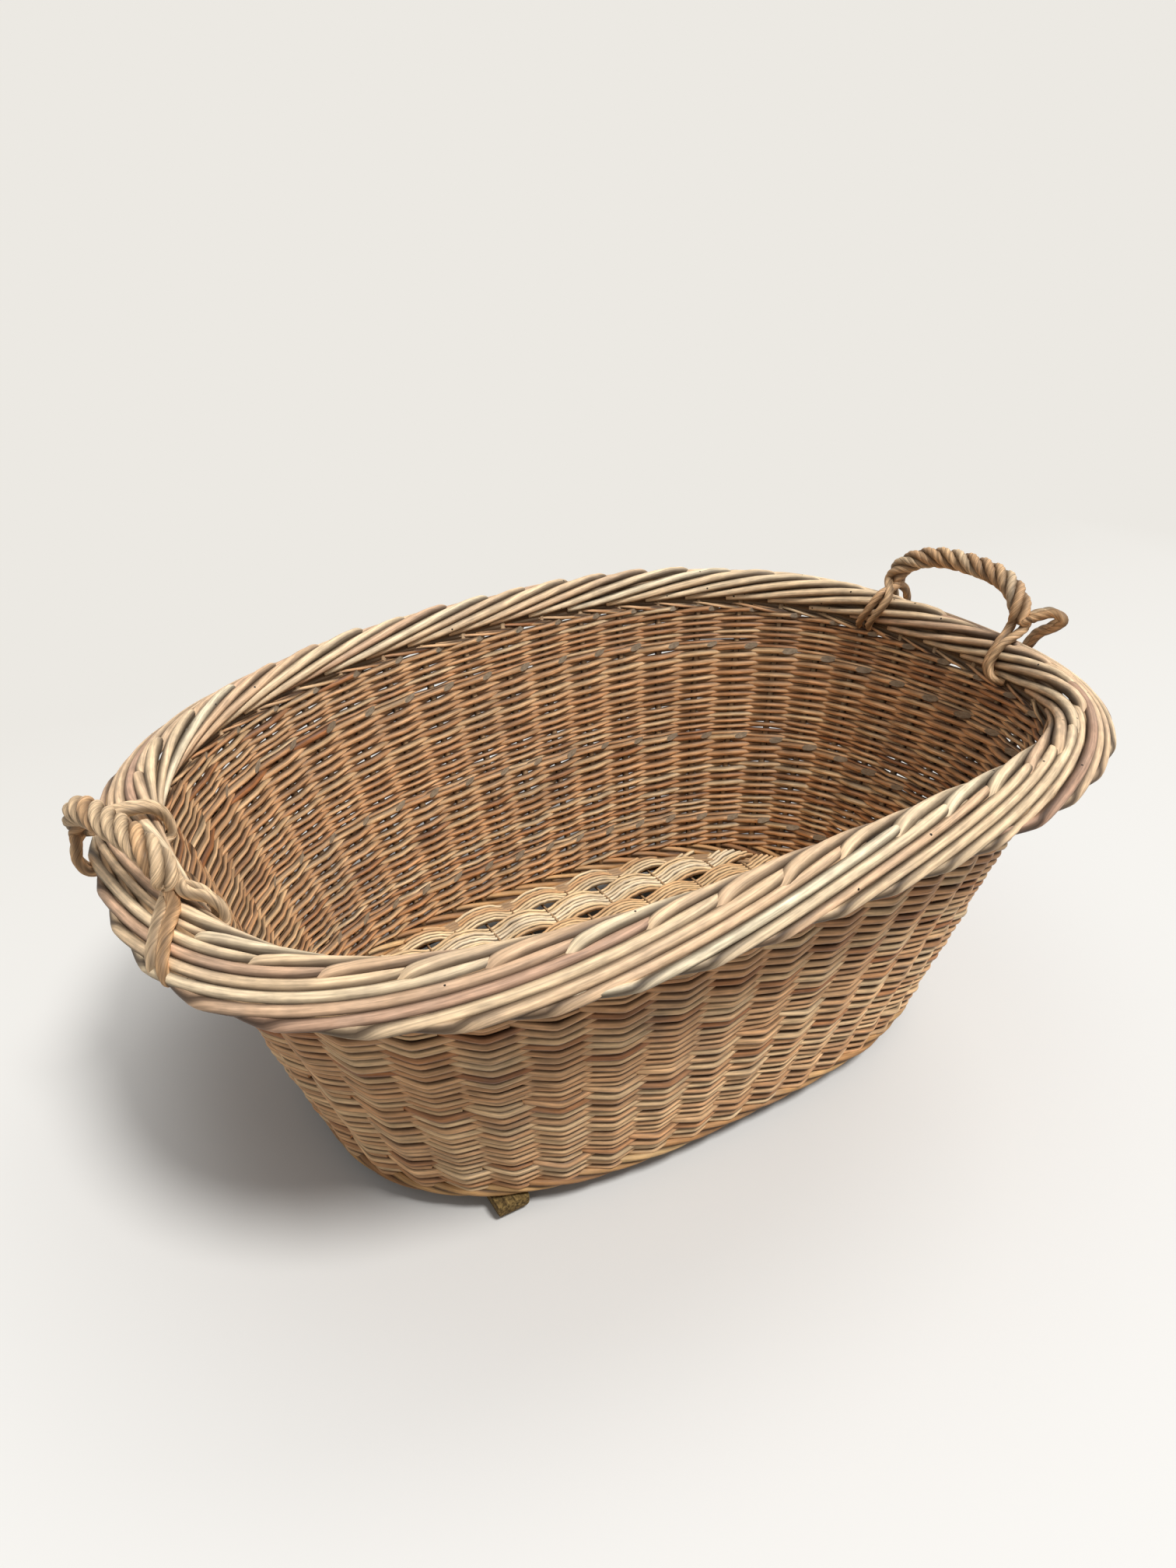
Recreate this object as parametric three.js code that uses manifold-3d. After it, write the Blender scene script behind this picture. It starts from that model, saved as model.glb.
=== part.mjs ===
/**
 * Oval willow laundry basket with two rope handles, in millimetres.
 *
 * x runs along the basket through both handles, y runs across it and z points up. The origin lies
 * on the floor under the middle of the basket. Upright stakes stand in a bottom edge, four bands of
 * weave go round them, and a broad border of swept rods closes the rim.
 */
import * as THREE from 'three';
import Module from 'manifold-3d';

// Plan of the wall, on the middle of its thickness, and the power of its oval
const baseLength = 524;
const baseWidth = 338;
const rimLength = 670;
const rimWidth = 482;
const ovalPower = 2.69;
const ovalSteps = 2000;

// Upright stakes and the weaving rods, by diameter
const stakeCount = 46;
const stakeThickness = 6.6;
const stakeSides = 6;
const rodTip = 2.3;
const rodMiddle = 4.2;
const rodButt = 5.5;

// Heights, from the ground up
const runnerHeight = 15;
const edgeHeight = 14;
const bandHeights = [28, 82, 88, 34];
const bandRods = [
  { below: rodMiddle, above: rodButt },
  { below: rodTip, above: rodButt },
  { below: rodTip, above: rodButt },
  { below: rodTip, above: rodMiddle },
];
const topWaleHeight = 7;
const seatGap = 0.3;

// The rim drops toward both ends, and its right end stands higher than its left one
const rimDip = 19;
const rimTilt = 8;

// A strand of a twisted ring has a crest and a valley in the ring's section
const pointsPerStrand = 2;

// Bottom edge, top wale and floor
const edgeThickness = 15;
const edgeStrands = 4;
const edgeStrandRise = 1;
const topWaleThickness = 14;
const floorThickness = 7;
const floorStickPitch = 30;
const floorBundleWidth = 34;
const floorHump = 6.4;
const floorStepsPerHump = 3;
const floorClearance = 0.4;

// Runners across the underside
const runnerLength = 292;
const runnerWidth = 24;
const runnerSpacing = 364;
const runnerOffset = 8;
const runnerRound = 9;
const runnerRoundSteps = 5;

// Border: the knees that rise inside the rim, and the rods that sweep out and down over it. Its
// height grows by the tilt toward the right end and shrinks by as much toward the left one.
const borderTilt = 4.5;
const kneeThickness = 14;
const kneeTopThickness = 8;
const kneeHeight = 25;
const kneeStrands = 6;
const kneeRise = 1.4;
const kneeFullness = 0.7;
const sweepTuck = 0.6;
const sweepWidth = 38;
const sweepThickness = 13;
const sweepRodsAcross = 6;
const sweepRodRise = 1.5;
const sweepRodsPerStake = 2;
const sweepSlopeSide = 50;
const sweepSlopeEnd = 21;
const sweepUndersideCorner = 0.13;

// Rope handles. A foot has its place round the rim, counted in stakes, and how far the rope's end
// lies out from the middle of the wall and above the knees.
const ropeThickness = 19.5;
const ropeStrands = 4;
const ropeStrandRise = 1.4;
const ropeStrandPitch = 15;
const ropeRows = 24;
const rightHandle = {
  firstFoot: { place: -1.6, out: 16, above: 8 },
  lastFoot: { place: 1.7, out: 22, above: 8 },
  rise: 39,
  leanDegrees: 28,
  fullness: 0.75,
};
const leftHandle = {
  firstFoot: { place: 21.9, out: 42, above: 5 },
  lastFoot: { place: 24.3, out: 10, above: 11 },
  rise: 30,
  leanDegrees: 8,
  fullness: 0.7,
};

// Lashings: two flat strands that hold each foot, from inside the wall over the border
const lashingWidth = 15;
const lashingThickness = 7;
const lashingGroove = 1.4;
const lashingDrop = 17;
const lashingBend = 17;
const lashingBendOut = 4;
const lashingCrestIn = 1.5;
const lashingRows = 10;
const lashingGap = 1;
const lashingSweepSteps = 3;
const lashingSweepStart = 75;
const lashingSweepEnd = -7;

const stakeRadius = stakeThickness / 2;
const edgeBottom = runnerHeight + seatGap;
const wallBottom = edgeBottom + edgeHeight + seatGap;
const bandSum = bandHeights.reduce((sum, height) => sum + height + seatGap, 0);
const topWaleBottom = wallBottom + bandSum;
const wallTop = topWaleBottom + topWaleHeight;
const kneeBottom = wallTop + seatGap;
const borderTop = kneeBottom + kneeHeight;

const wasm = await Module();
wasm.setup();

/** Signed power, which keeps the sign of its base. */
function signedPower(value, power) {
  return Math.sign(value) * Math.abs(value) ** power;
}

/** The oval plan, run through once counter-clockwise from the right end. */
class Oval extends THREE.Curve {
  constructor(length, width) {
    super();
    this.length = length;
    this.width = width;
    this.arcLengthDivisions = ovalSteps;
  }

  getPoint(t, target = new THREE.Vector3()) {
    const angle = 2 * Math.PI * t;
    const x = signedPower(Math.cos(angle), 2 / ovalPower) * this.length / 2;
    const y = signedPower(Math.sin(angle), 2 / ovalPower) * this.width / 2;
    return target.set(x, y, 0);
  }
}

/**
 * A place round the wall, counted in stakes from the right end: its shares of the half sizes, and
 * the way out of the wall.
 */
function wallStation(place) {
  const { length, width } = middleOval;
  const turns = place / stakeCount;
  const point = middleOval.getPoint(middleOval.getUtoTmapping(turns - Math.floor(turns)));
  const shareX = point.x / (length / 2);
  const shareY = point.y / (width / 2);
  const outward = new THREE.Vector3(
    signedPower(shareX, ovalPower - 1) / length,
    signedPower(shareY, ovalPower - 1) / width,
    0,
  ).normalize();
  return { shareX, shareY, outward };
}

/** Places spread evenly round the wall. */
function wallStations(count) {
  return Array.from({ length: count }, (_, index) => wallStation(stakeCount * index / count));
}

/**
 * A point of the leaning wall at a height, moved out of the middle of its thickness and along the
 * wall. Heights sag and tilt with the rim, more so toward the top.
 */
function wallPoint(station, height, outBy, alongBy = 0) {
  const climb = (height - edgeBottom) / (wallTop - edgeBottom);
  const halfLength = THREE.MathUtils.lerp(baseLength, rimLength, climb) / 2;
  const halfWidth = THREE.MathUtils.lerp(baseWidth, rimWidth, climb) / 2;
  const x = halfLength * station.shareX + station.outward.x * outBy - station.outward.y * alongBy;
  const y = halfWidth * station.shareY + station.outward.y * outBy + station.outward.x * alongBy;
  const share = x / halfLength;
  return new THREE.Vector3(x, y, height + (rimTilt * share - rimDip * share ** 2) * climb);
}

/**
 * A point of the rim, out from and above the middle of the wall's top. Heights above it stretch with
 * the border toward the right end.
 */
function rimPoint(station, outBy, above) {
  const point = wallPoint(station, wallTop, outBy);
  point.z += above * (1 + borderTilt * station.shareX / kneeHeight);
  return point;
}

/**
 * Skins rows of points, each row one section of the same piece. Each point joins the point of the
 * next row that lies `shift` places further on, so strands can wander round the section. Rows that
 * don't close on themselves get a fan over each end.
 */
function skin(rows, { closed = false, shift = 0 } = {}) {
  const across = rows[0].length;
  const points = rows.flat();
  const faces = [];
  const spanCount = closed ? rows.length : rows.length - 1;
  for (let row = 0; row < spanCount; row += 1) {
    const here = row * across;
    const there = ((row + 1) % rows.length) * across;
    for (let i = 0; i < across; i += 1) {
      const next = (i + 1) % across;
      const faced = (i + shift + across) % across;
      const facedNext = (next + shift + across) % across;
      faces.push(here + i, here + next, there + facedNext);
      faces.push(here + i, there + facedNext, there + faced);
    }
  }
  if (!closed) {
    const last = (rows.length - 1) * across;
    const startMiddle = points.push(middleOf(rows[0])) - 1;
    const endMiddle = points.push(middleOf(rows[rows.length - 1])) - 1;
    for (let i = 0; i < across; i += 1) {
      const next = (i + 1) % across;
      faces.push(startMiddle, next, i);
      faces.push(endMiddle, last + i, last + next);
    }
  }
  return indexedGeometry(points, faces);
}

/** A geometry of corners alone, three to a triangle unless faces share them. */
function plainGeometry(points) {
  const values = points.flatMap((point) => point.toArray());
  const geometry = new THREE.BufferGeometry();
  geometry.setAttribute('position', new THREE.Float32BufferAttribute(values, 3));
  return geometry;
}

/** A geometry of corners that its faces share. */
function indexedGeometry(points, faces) {
  return plainGeometry(points).setIndex(faces);
}

/**
 * Closes the sections of all stations into a ring, run clockwise as the border rods lie. Each
 * section goes from the outer side over the top to the inner side and back below.
 */
function ring(sections, shift = 0) {
  return skin([...sections].reverse(), { closed: true, shift });
}

/** Mean of a row of points. */
function middleOf(points) {
  const sum = points.reduce((total, point) => total.add(point), new THREE.Vector3());
  return sum.divideScalar(points.length);
}

/** Turns an indexed geometry into a solid that can be cut and joined. */
function toSolid(geometry) {
  return new wasm.Manifold(new wasm.Mesh({
    numProp: 3,
    vertProperties: new Float32Array(geometry.getAttribute('position').array),
    triVerts: new Uint32Array(geometry.getIndex().array),
  }));
}

/** Turns a cut or joined solid back into a geometry. */
function toGeometry(solid) {
  const mesh = solid.getMesh();
  const geometry = new THREE.BufferGeometry();
  geometry.setAttribute('position', new THREE.Float32BufferAttribute(mesh.vertProperties, 3));
  geometry.setIndex(Array.from(mesh.triVerts));
  return geometry;
}

/**
 * A section with one crest and one valley a strand, as offsets sideways and up, with a crest on
 * top. A fullness of 1 gives an oval, and a smaller one fills its corners.
 */
function strandSection(width, height, strands, rise, fullness = 1) {
  const section = [];
  const count = strands * pointsPerStrand;
  for (let i = 0; i < count; i += 1) {
    const angle = Math.PI / 2 + 2 * Math.PI * i / count;
    const inset = i % pointsPerStrand === 0 ? 0 : rise;
    section.push(new THREE.Vector2(
      (width / 2 - inset) * signedPower(Math.cos(angle), fullness),
      (height / 2 - inset) * signedPower(Math.sin(angle), fullness),
    ));
  }
  return section;
}

/** The ring of twisted strands round the bottom. */
function bottomEdge() {
  const section = strandSection(edgeThickness, edgeHeight, edgeStrands, edgeStrandRise);
  const rows = stakeStations.map((station) => section.map(
    (offset) => wallPoint(station, edgeBottom + edgeHeight / 2 + offset.y, offset.x),
  ));
  return ring(rows, -pointsPerStrand);
}

/** Points round one stake's middle line at a height, counter-clockwise from above. */
function roundStake(station, height, reach, sides, firstAngle) {
  const points = [];
  for (let i = 0; i < sides; i += 1) {
    const angle = firstAngle + 2 * Math.PI * i / sides;
    points.push(wallPoint(station, height, reach * Math.cos(angle), reach * Math.sin(angle)));
  }
  return points;
}

/** The round rod of one stake, which stands on the bottom edge and ends level with the wall. */
function stakeRod(station) {
  const ends = [wallBottom, wallTop];
  return skin(ends.map((height) => roundStake(station, height, stakeRadius, stakeSides, 0)));
}

/**
 * A ring of weave between two heights, with a square passage round each stake. Half the wall's
 * thickness is given where a stake stands and where the rods cross, at the bottom and at the top.
 */
function wovenRing(bottom, top, atStake, atCrossing) {
  const triangles = [];
  stakeStations.forEach((station, index) => {
    const [before, over, after] = [-1, 0, 1].map(
      (step) => fluteStations[(2 * index + step + fluteStations.length) % fluteStations.length],
    );
    const [lower, upper] = [0, 1].map((level) => {
      const height = level === 0 ? bottom : top;
      const face = (side) => [
        wallPoint(before, height, side * atCrossing[level]),
        wallPoint(over, height, side * atStake[level]),
        wallPoint(after, height, side * atCrossing[level]),
      ];
      return { outer: face(1), inner: face(-1).reverse(), passage: passageRound(station, height) };
    });
    triangles.push(...cellFaces(lower, upper));
  });
  return plainGeometry(triangles);
}

/** The corners of the square passage that the weave leaves round a stake, clockwise from above. */
function passageRound(station, height) {
  const reach = (stakeRadius + seatGap) * Math.SQRT2;
  return roundStake(station, height, reach, 4, Math.PI / 4).reverse();
}

/** Faces of one stake's share of a woven ring, which stays open toward its two neighbours. */
function cellFaces(lower, upper) {
  const corners = [];
  const wall = (low, high) => {
    for (let i = 0; i + 1 < low.length; i += 1) {
      corners.push(low[i], low[i + 1], high[i + 1]);
      corners.push(low[i], high[i + 1], high[i]);
    }
  };
  wall(lower.outer, upper.outer);
  wall(lower.inner, upper.inner);
  wall([...lower.passage, lower.passage[0]], [...upper.passage, upper.passage[0]]);
  for (const { outer, inner, passage } of [lower, upper]) {
    const outline = [...outer, ...inner];
    const points = [...outline, ...passage];
    for (const [a, b, c] of THREE.ShapeUtils.triangulateShape(outline, [passage])) {
      const facing = outer === upper.outer ? [a, b, c] : [a, c, b];
      corners.push(...facing.map((corner) => points[corner]));
    }
  }
  return corners;
}

/** One band of weave: a fluted ring, thick over each stake and thin where the rods cross. */
function weaveBand(bottom, height, rods) {
  const atStake = [stakeRadius + rods.below, stakeRadius + rods.above];
  return wovenRing(bottom, bottom + height, atStake, [rods.below, rods.above]);
}

/** The rows of fine rods that lock the weave under the border. */
function topWale() {
  const half = topWaleThickness / 2;
  return wovenRing(topWaleBottom, wallTop, [half, half], [half, half]);
}

/** Side view of one floor bundle, which humps over every second stick. */
function bundleProfile(firstHump) {
  const middle = edgeBottom + floorHump / 2 + floorThickness / 2;
  const humps = 2 * Math.ceil(baseLength / floorStickPitch / 2);
  const upper = [];
  const lower = [];
  for (let i = 0; i <= humps * floorStepsPerHump; i += 1) {
    const along = (i / floorStepsPerHump - humps / 2) * floorStickPitch;
    const wave = Math.cos(Math.PI * (i / floorStepsPerHump + firstHump)) * floorHump / 2;
    upper.push(new THREE.Vector2(along, middle + floorThickness / 2 + wave));
    lower.push(new THREE.Vector2(along, middle - floorThickness / 2 + wave));
  }
  return new THREE.Shape([...lower, ...upper.reverse()]);
}

/**
 * Woven floor: bundles of rods hump over and under sticks that lie across the basket, and bundles
 * side by side take turns. The floor ends inside the bottom edge.
 */
function floorWeave() {
  const bundleCount = Math.ceil(baseWidth / floorBundleWidth);
  const bundles = [];
  for (let i = 0; i < bundleCount; i += 1) {
    const extrusion = { depth: floorBundleWidth, bevelEnabled: false };
    const bundle = new THREE.ExtrudeGeometry(bundleProfile(i), extrusion);
    bundle.rotateX(Math.PI / 2);
    bundle.translate(0, (i + 1 - bundleCount / 2) * floorBundleWidth, 0);
    bundles.push(toSolid(weld(bundle)));
  }
  const inset = edgeThickness / 2 + floorClearance;
  const outlineAt = (height) => stakeStations.map((station) => {
    const point = wallPoint(station, edgeBottom + edgeHeight / 2, -inset);
    return point.setZ(height);
  });
  const outline = skin([outlineAt(0), outlineAt(wallTop)]);
  return toGeometry(wasm.Manifold.union(bundles).intersect(toSolid(outline)));
}

/** Merges equal corners, which leaves an indexed geometry with positions only. */
function weld(geometry) {
  const places = new Map();
  const corners = [];
  const faces = [];
  const position = geometry.getAttribute('position');
  for (let i = 0; i < position.count; i += 1) {
    const corner = new THREE.Vector3().fromBufferAttribute(position, i);
    const key = corner.toArray().map((value) => value.toFixed(3)).join();
    if (!places.has(key)) places.set(key, corners.push(corner) - 1);
    faces.push(places.get(key));
  }
  return indexedGeometry(corners, faces);
}

/** A wooden runner with its lower corners rounded off at both ends. */
function runner() {
  const half = runnerLength / 2;
  const profile = new THREE.Shape();
  profile.moveTo(-half, runnerHeight);
  profile.lineTo(-half, runnerRound);
  profile.absarc(-half + runnerRound, runnerRound, runnerRound, Math.PI, 1.5 * Math.PI, false);
  profile.lineTo(half - runnerRound, 0);
  profile.absarc(half - runnerRound, runnerRound, runnerRound, 1.5 * Math.PI, 2 * Math.PI, false);
  profile.lineTo(half, runnerHeight);
  const board = new THREE.ExtrudeGeometry(profile, {
    depth: runnerWidth,
    bevelEnabled: false,
    curveSegments: runnerRoundSteps,
  });
  board.translate(0, 0, -runnerWidth / 2);
  board.rotateX(Math.PI / 2);
  board.rotateZ(Math.PI / 2);
  return board;
}

/** Slope of the swept rods below level, steeper along the sides than at the ends. */
function sweepSlope(station) {
  const slope = THREE.MathUtils.lerp(sweepSlopeSide, sweepSlopeEnd, station.shareX ** 2);
  return THREE.MathUtils.degToRad(slope);
}

/**
 * A point of the swept rods' section, as offsets out from and above the middle of the wall's top.
 * The section is a leaning oval that fits beside the knees and under the top of the border. The
 * point lies `outset` off its surface.
 */
function sweepOffset(station, angle, outset) {
  const slope = sweepSlope(station);
  const halfWidth = sweepWidth / 2;
  const halfThickness = sweepThickness / 2;
  const reachOut = Math.hypot(halfWidth * Math.cos(slope), halfThickness * Math.sin(slope));
  const reachUp = Math.hypot(halfWidth * Math.sin(slope), halfThickness * Math.cos(slope));
  const [cosine, sine] = [Math.cos(angle), Math.sin(angle)];
  const facing = new THREE.Vector2(halfThickness * cosine, halfWidth * sine).normalize();
  const along = halfWidth * cosine + outset * facing.x;
  const above = halfThickness * sine + outset * facing.y;
  return new THREE.Vector2(
    kneeThickness / 2 - sweepTuck + reachOut + along * Math.cos(slope) + above * Math.sin(slope),
    borderTop - wallTop - reachUp - along * Math.sin(slope) + above * Math.cos(slope),
  );
}

/**
 * Border rods side by side: each enters at the inner edge and leaves under the outer one. The
 * underside is plain, with points at its lowest, middle and innermost places.
 */
function borderSweep() {
  const pointsAcross = sweepRodsAcross * pointsPerStrand;
  const rows = stakeStations.map((station) => {
    const section = [];
    for (let i = 0; i <= pointsAcross; i += 1) {
      const angle = Math.PI * (1 - i / pointsAcross);
      const inset = i % pointsPerStrand === 0 ? 0 : sweepRodRise;
      section.push(sweepOffset(station, angle, -inset));
    }
    for (const halfTurns of [sweepUndersideCorner, 1 / 2, 1 - sweepUndersideCorner]) {
      section.push(sweepOffset(station, -Math.PI * halfTurns, 0));
    }
    return section.map((offset) => rimPoint(station, offset.x, offset.y)).reverse();
  });
  return ring(rows, -sweepRodsPerStake * pointsPerStrand);
}

/**
 * Ring of knees: the stakes bent over one after another inside the rim. It thins toward its top, as
 * its inner side leans out with the wall.
 */
function borderKnees() {
  const section = strandSection(kneeThickness, kneeHeight, kneeStrands, kneeRise, kneeFullness);
  const rows = stakeStations.map((station) => section.map((offset) => {
    const climb = 1 / 2 + offset.y / kneeHeight;
    const thinned = THREE.MathUtils.lerp(1, kneeTopThickness / kneeThickness, climb);
    const outBy = kneeThickness / 2 - (kneeThickness / 2 - offset.x) * thinned;
    return rimPoint(station, outBy, kneeBottom - wallTop + kneeHeight * climb);
  }));
  return ring(rows, -pointsPerStrand);
}

/** The rope bow of a handle between its two feet, leaning out from the basket. */
function handleBow({ firstFoot, lastFoot, rise, leanDegrees, fullness }) {
  const [start, end] = [firstFoot, lastFoot].map(
    ({ place, out, above }) => rimPoint(wallStation(place), out, kneeHeight + above),
  );
  const { outward } = wallStation((firstFoot.place + lastFoot.place) / 2);
  const lean = THREE.MathUtils.degToRad(leanDegrees);
  const middle = start.clone().add(end).divideScalar(2);
  const halfSpan = end.clone().sub(start).divideScalar(2);
  const points = [];
  for (let i = 0; i <= ropeRows; i += 1) {
    const angle = Math.PI * i / ropeRows;
    const climb = rise * Math.cos(lean) * Math.sin(angle) ** fullness;
    points.push(middle.clone()
      .addScaledVector(halfSpan, -signedPower(Math.cos(angle), fullness))
      .addScaledVector(outward, rise * Math.sin(lean) * Math.sin(angle) ** 2)
      .add(new THREE.Vector3(0, 0, climb)));
  }
  const bow = new THREE.CatmullRomCurve3(points);
  const twist = 2 * Math.PI * bow.getLength() / (ropeStrandPitch * ropeStrands);
  const section = strandSection(ropeThickness, ropeThickness, ropeStrands, ropeStrandRise);
  const rows = [];
  for (let row = 0; row <= ropeRows; row += 1) {
    const share = row / ropeRows;
    const forward = row === 0 || row === ropeRows
      ? new THREE.Vector3(0, 0, row === 0 ? 1 : -1)
      : bow.getTangentAt(share);
    const side = outward.clone().addScaledVector(forward, -outward.dot(forward)).normalize();
    const other = forward.clone().cross(side);
    const turn = twist * share;
    rows.push(section.map((offset) => {
      const turned = offset.clone().rotateAround(new THREE.Vector2(), turn);
      return bow.getPointAt(share).addScaledVector(side, turned.x).addScaledVector(other, turned.y);
    }));
  }
  return skin(rows);
}

/**
 * Lashing of a handle foot: flat strands from inside the wall over the border, through the end of
 * the rope, to the border's outer edge.
 */
function footLashing(foot) {
  const station = wallStation(foot.place);
  const off = lashingThickness / 2 + lashingGap;
  const wallSide = stakeRadius + rodMiddle + off;
  const kneeSide = Math.max(kneeThickness / 2 + off, wallSide);
  const offsets = [
    new THREE.Vector2(-wallSide, -lashingDrop),
    new THREE.Vector2(-wallSide, -lashingDrop / 2),
    new THREE.Vector2(-kneeSide, 0),
    new THREE.Vector2(-kneeSide + lashingBendOut, lashingBend),
    new THREE.Vector2(-lashingCrestIn, kneeHeight + off),
    new THREE.Vector2(foot.out, kneeHeight + foot.above),
  ];
  for (let step = 0; step <= lashingSweepSteps; step += 1) {
    const share = step / lashingSweepSteps;
    const degrees = THREE.MathUtils.lerp(lashingSweepStart, lashingSweepEnd, share);
    const offset = sweepOffset(station, THREE.MathUtils.degToRad(degrees), off);
    if (offset.x > foot.out) offsets.push(offset);
  }
  const path = new THREE.CatmullRomCurve3(offsets.map((offset) => lashingPoint(station, offset)));
  const along = new THREE.Vector3(-station.outward.y, station.outward.x, 0);
  const rows = [];
  for (let row = 0; row <= lashingRows; row += 1) {
    const share = row / lashingRows;
    const forward = path.getTangentAt(share);
    const face = along.clone().cross(forward).normalize();
    rows.push(lashingSection().map((offset) => path.getPointAt(share)
      .addScaledVector(along, offset.x)
      .addScaledVector(face, offset.y)).reverse());
  }
  return skin(rows);
}

/** A point of the lashing: it follows the leaning wall below the rim. */
function lashingPoint(station, offset) {
  if (offset.y >= 0) return rimPoint(station, offset.x, offset.y);
  return wallPoint(station, wallTop + offset.y, offset.x);
}

/** Two strands lying side by side, as offsets along the rim and away from it. */
function lashingSection() {
  const halfWidth = lashingWidth / 2;
  const halfThickness = lashingThickness / 2;
  const waist = halfThickness - lashingGroove;
  return [
    new THREE.Vector2(-halfWidth, 0),
    new THREE.Vector2(-halfWidth / 2, -halfThickness),
    new THREE.Vector2(0, -waist),
    new THREE.Vector2(halfWidth / 2, -halfThickness),
    new THREE.Vector2(halfWidth, 0),
    new THREE.Vector2(halfWidth / 2, halfThickness),
    new THREE.Vector2(0, waist),
    new THREE.Vector2(-halfWidth / 2, halfThickness),
  ];
}

/** A whole handle: its rope bow and the lashings of both feet. */
function handle(sizes) {
  const pieces = [handleBow(sizes), footLashing(sizes.firstFoot), footLashing(sizes.lastFoot)];
  return toGeometry(wasm.Manifold.union(pieces.map(toSolid)));
}

/** Adds a named mesh with its own material to the basket. */
function addPiece(name, geometry, colour) {
  const loose = geometry.index ? geometry.toNonIndexed() : geometry;
  loose.computeVertexNormals();
  const material = new THREE.MeshStandardMaterial({ color: colour, roughness: 0.7, metalness: 0 });
  const mesh = new THREE.Mesh(loose, material);
  mesh.name = name;
  basket.add(mesh);
  return mesh;
}

const middleOval = new Oval((baseLength + rimLength) / 2, (baseWidth + rimWidth) / 2);
const stakeStations = wallStations(stakeCount);
const fluteStations = wallStations(stakeCount * 2);

const colours = {
  runner: '#8a7448',
  floor: '#b08a5c',
  edge: '#b98f62',
  stake: '#a98660',
  weave: '#b5875a',
  knees: '#c9a878',
  sweep: '#d0b080',
  rope: '#c29a66',
};

const basket = new THREE.Group();

for (const [side, name] of [[-1, 'runner_left'], [1, 'runner_right']]) {
  const mesh = addPiece(name, runner(), colours.runner);
  mesh.position.set(side * runnerSpacing / 2, side * runnerOffset, 0);
}

addPiece('floor_weave', floorWeave(), colours.floor);
addPiece('bottom_edge', bottomEdge(), colours.edge);

stakeStations.forEach((station, index) => {
  addPiece(`stake_${String(index + 1).padStart(2, '0')}`, stakeRod(station), colours.stake);
});

let bandBottom = wallBottom;
bandHeights.forEach((height, index) => {
  addPiece(`weave_band_${index + 1}`, weaveBand(bandBottom, height, bandRods[index]), colours.weave);
  bandBottom += height + seatGap;
});

addPiece('top_wale', topWale(), colours.weave);
addPiece('border_knees', borderKnees(), colours.knees);
addPiece('border_sweep', borderSweep(), colours.sweep);
addPiece('handle_right', handle(rightHandle), colours.rope);
addPiece('handle_left', handle(leftHandle), colours.rope);

export default basket;
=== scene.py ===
"""Oval willow laundry basket with two rope handles, dressed for a studio picture.

Every rod of the real basket is modelled as a rod: the side weave, the stakes, the bottom edge, the
knees and swept rods of the border, the floor and the twisted handles. Lengths are in metres, x runs
along the basket through both handles, y runs across it and z points up.
"""
import logging
import math
from dataclasses import dataclass, field
from enum import Enum

import bpy
import numpy as np
from mathutils import Matrix, Vector


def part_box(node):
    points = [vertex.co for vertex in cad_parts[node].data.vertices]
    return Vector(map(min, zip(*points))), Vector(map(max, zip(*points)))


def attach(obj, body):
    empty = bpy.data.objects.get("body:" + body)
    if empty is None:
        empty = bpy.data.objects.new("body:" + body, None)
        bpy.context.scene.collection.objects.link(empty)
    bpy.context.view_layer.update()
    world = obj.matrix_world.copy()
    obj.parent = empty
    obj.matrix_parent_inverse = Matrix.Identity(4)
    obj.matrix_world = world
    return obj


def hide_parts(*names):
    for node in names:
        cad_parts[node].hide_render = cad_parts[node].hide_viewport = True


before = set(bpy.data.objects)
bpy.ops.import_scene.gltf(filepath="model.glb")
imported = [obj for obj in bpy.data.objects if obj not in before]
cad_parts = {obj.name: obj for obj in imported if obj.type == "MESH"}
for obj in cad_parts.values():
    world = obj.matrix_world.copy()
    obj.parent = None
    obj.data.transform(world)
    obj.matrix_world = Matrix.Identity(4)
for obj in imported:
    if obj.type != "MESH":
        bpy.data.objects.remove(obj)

LOG = logging.getLogger("laundry_basket")
BODY = "root"
SEED = 46
UP = np.array([0.0, 0.0, 1.0])


def linear(hex_colour: str) -> tuple[float, float, float, float]:
    """Turns an sRGB hex colour into linear values.

    Args:
        hex_colour: Six hex digits after a hash sign.

    Returns:
        Red, green, blue and alpha for a shader socket.
    """
    channels = [int(hex_colour[i:i + 2], 16) / 255 for i in (1, 3, 5)]
    values = [c / 12.92 if c <= 0.04045 else ((c + 0.055) / 1.055) ** 2.4 for c in channels]
    return values[0], values[1], values[2], 1.0


def add_node(
    tree: bpy.types.NodeTree, kind: str, inputs: dict, out: str | int = 0
) -> bpy.types.NodeSocket | None:
    """Adds a shader node with its settings and links.

    Args:
        tree: Node tree that gets the node.
        kind: Node type name after "ShaderNode".
        inputs: Values or output sockets to link, by the name of a node property or by the name or
            number of an input; "stops" fills a colour ramp.
        out: Name or number of the output wanted.

    Returns:
        The output wanted, or None where the node has no outputs.
    """
    node = tree.nodes.new(f"ShaderNode{kind}")
    for name, value in inputs.items():
        if name == "stops":
            elements = node.color_ramp.elements
            while len(elements) < len(value):
                elements.new(0.5)
            for element, (position, colour) in zip(elements, value):
                element.position = position
                element.color = colour
        elif isinstance(value, bpy.types.NodeSocket):
            tree.links.new(value, node.inputs[name])
        elif isinstance(name, str) and hasattr(node, name):
            setattr(node, name, value)
        else:
            node.inputs[name].default_value = value
    return node.outputs[out] if node.outputs else None


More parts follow.
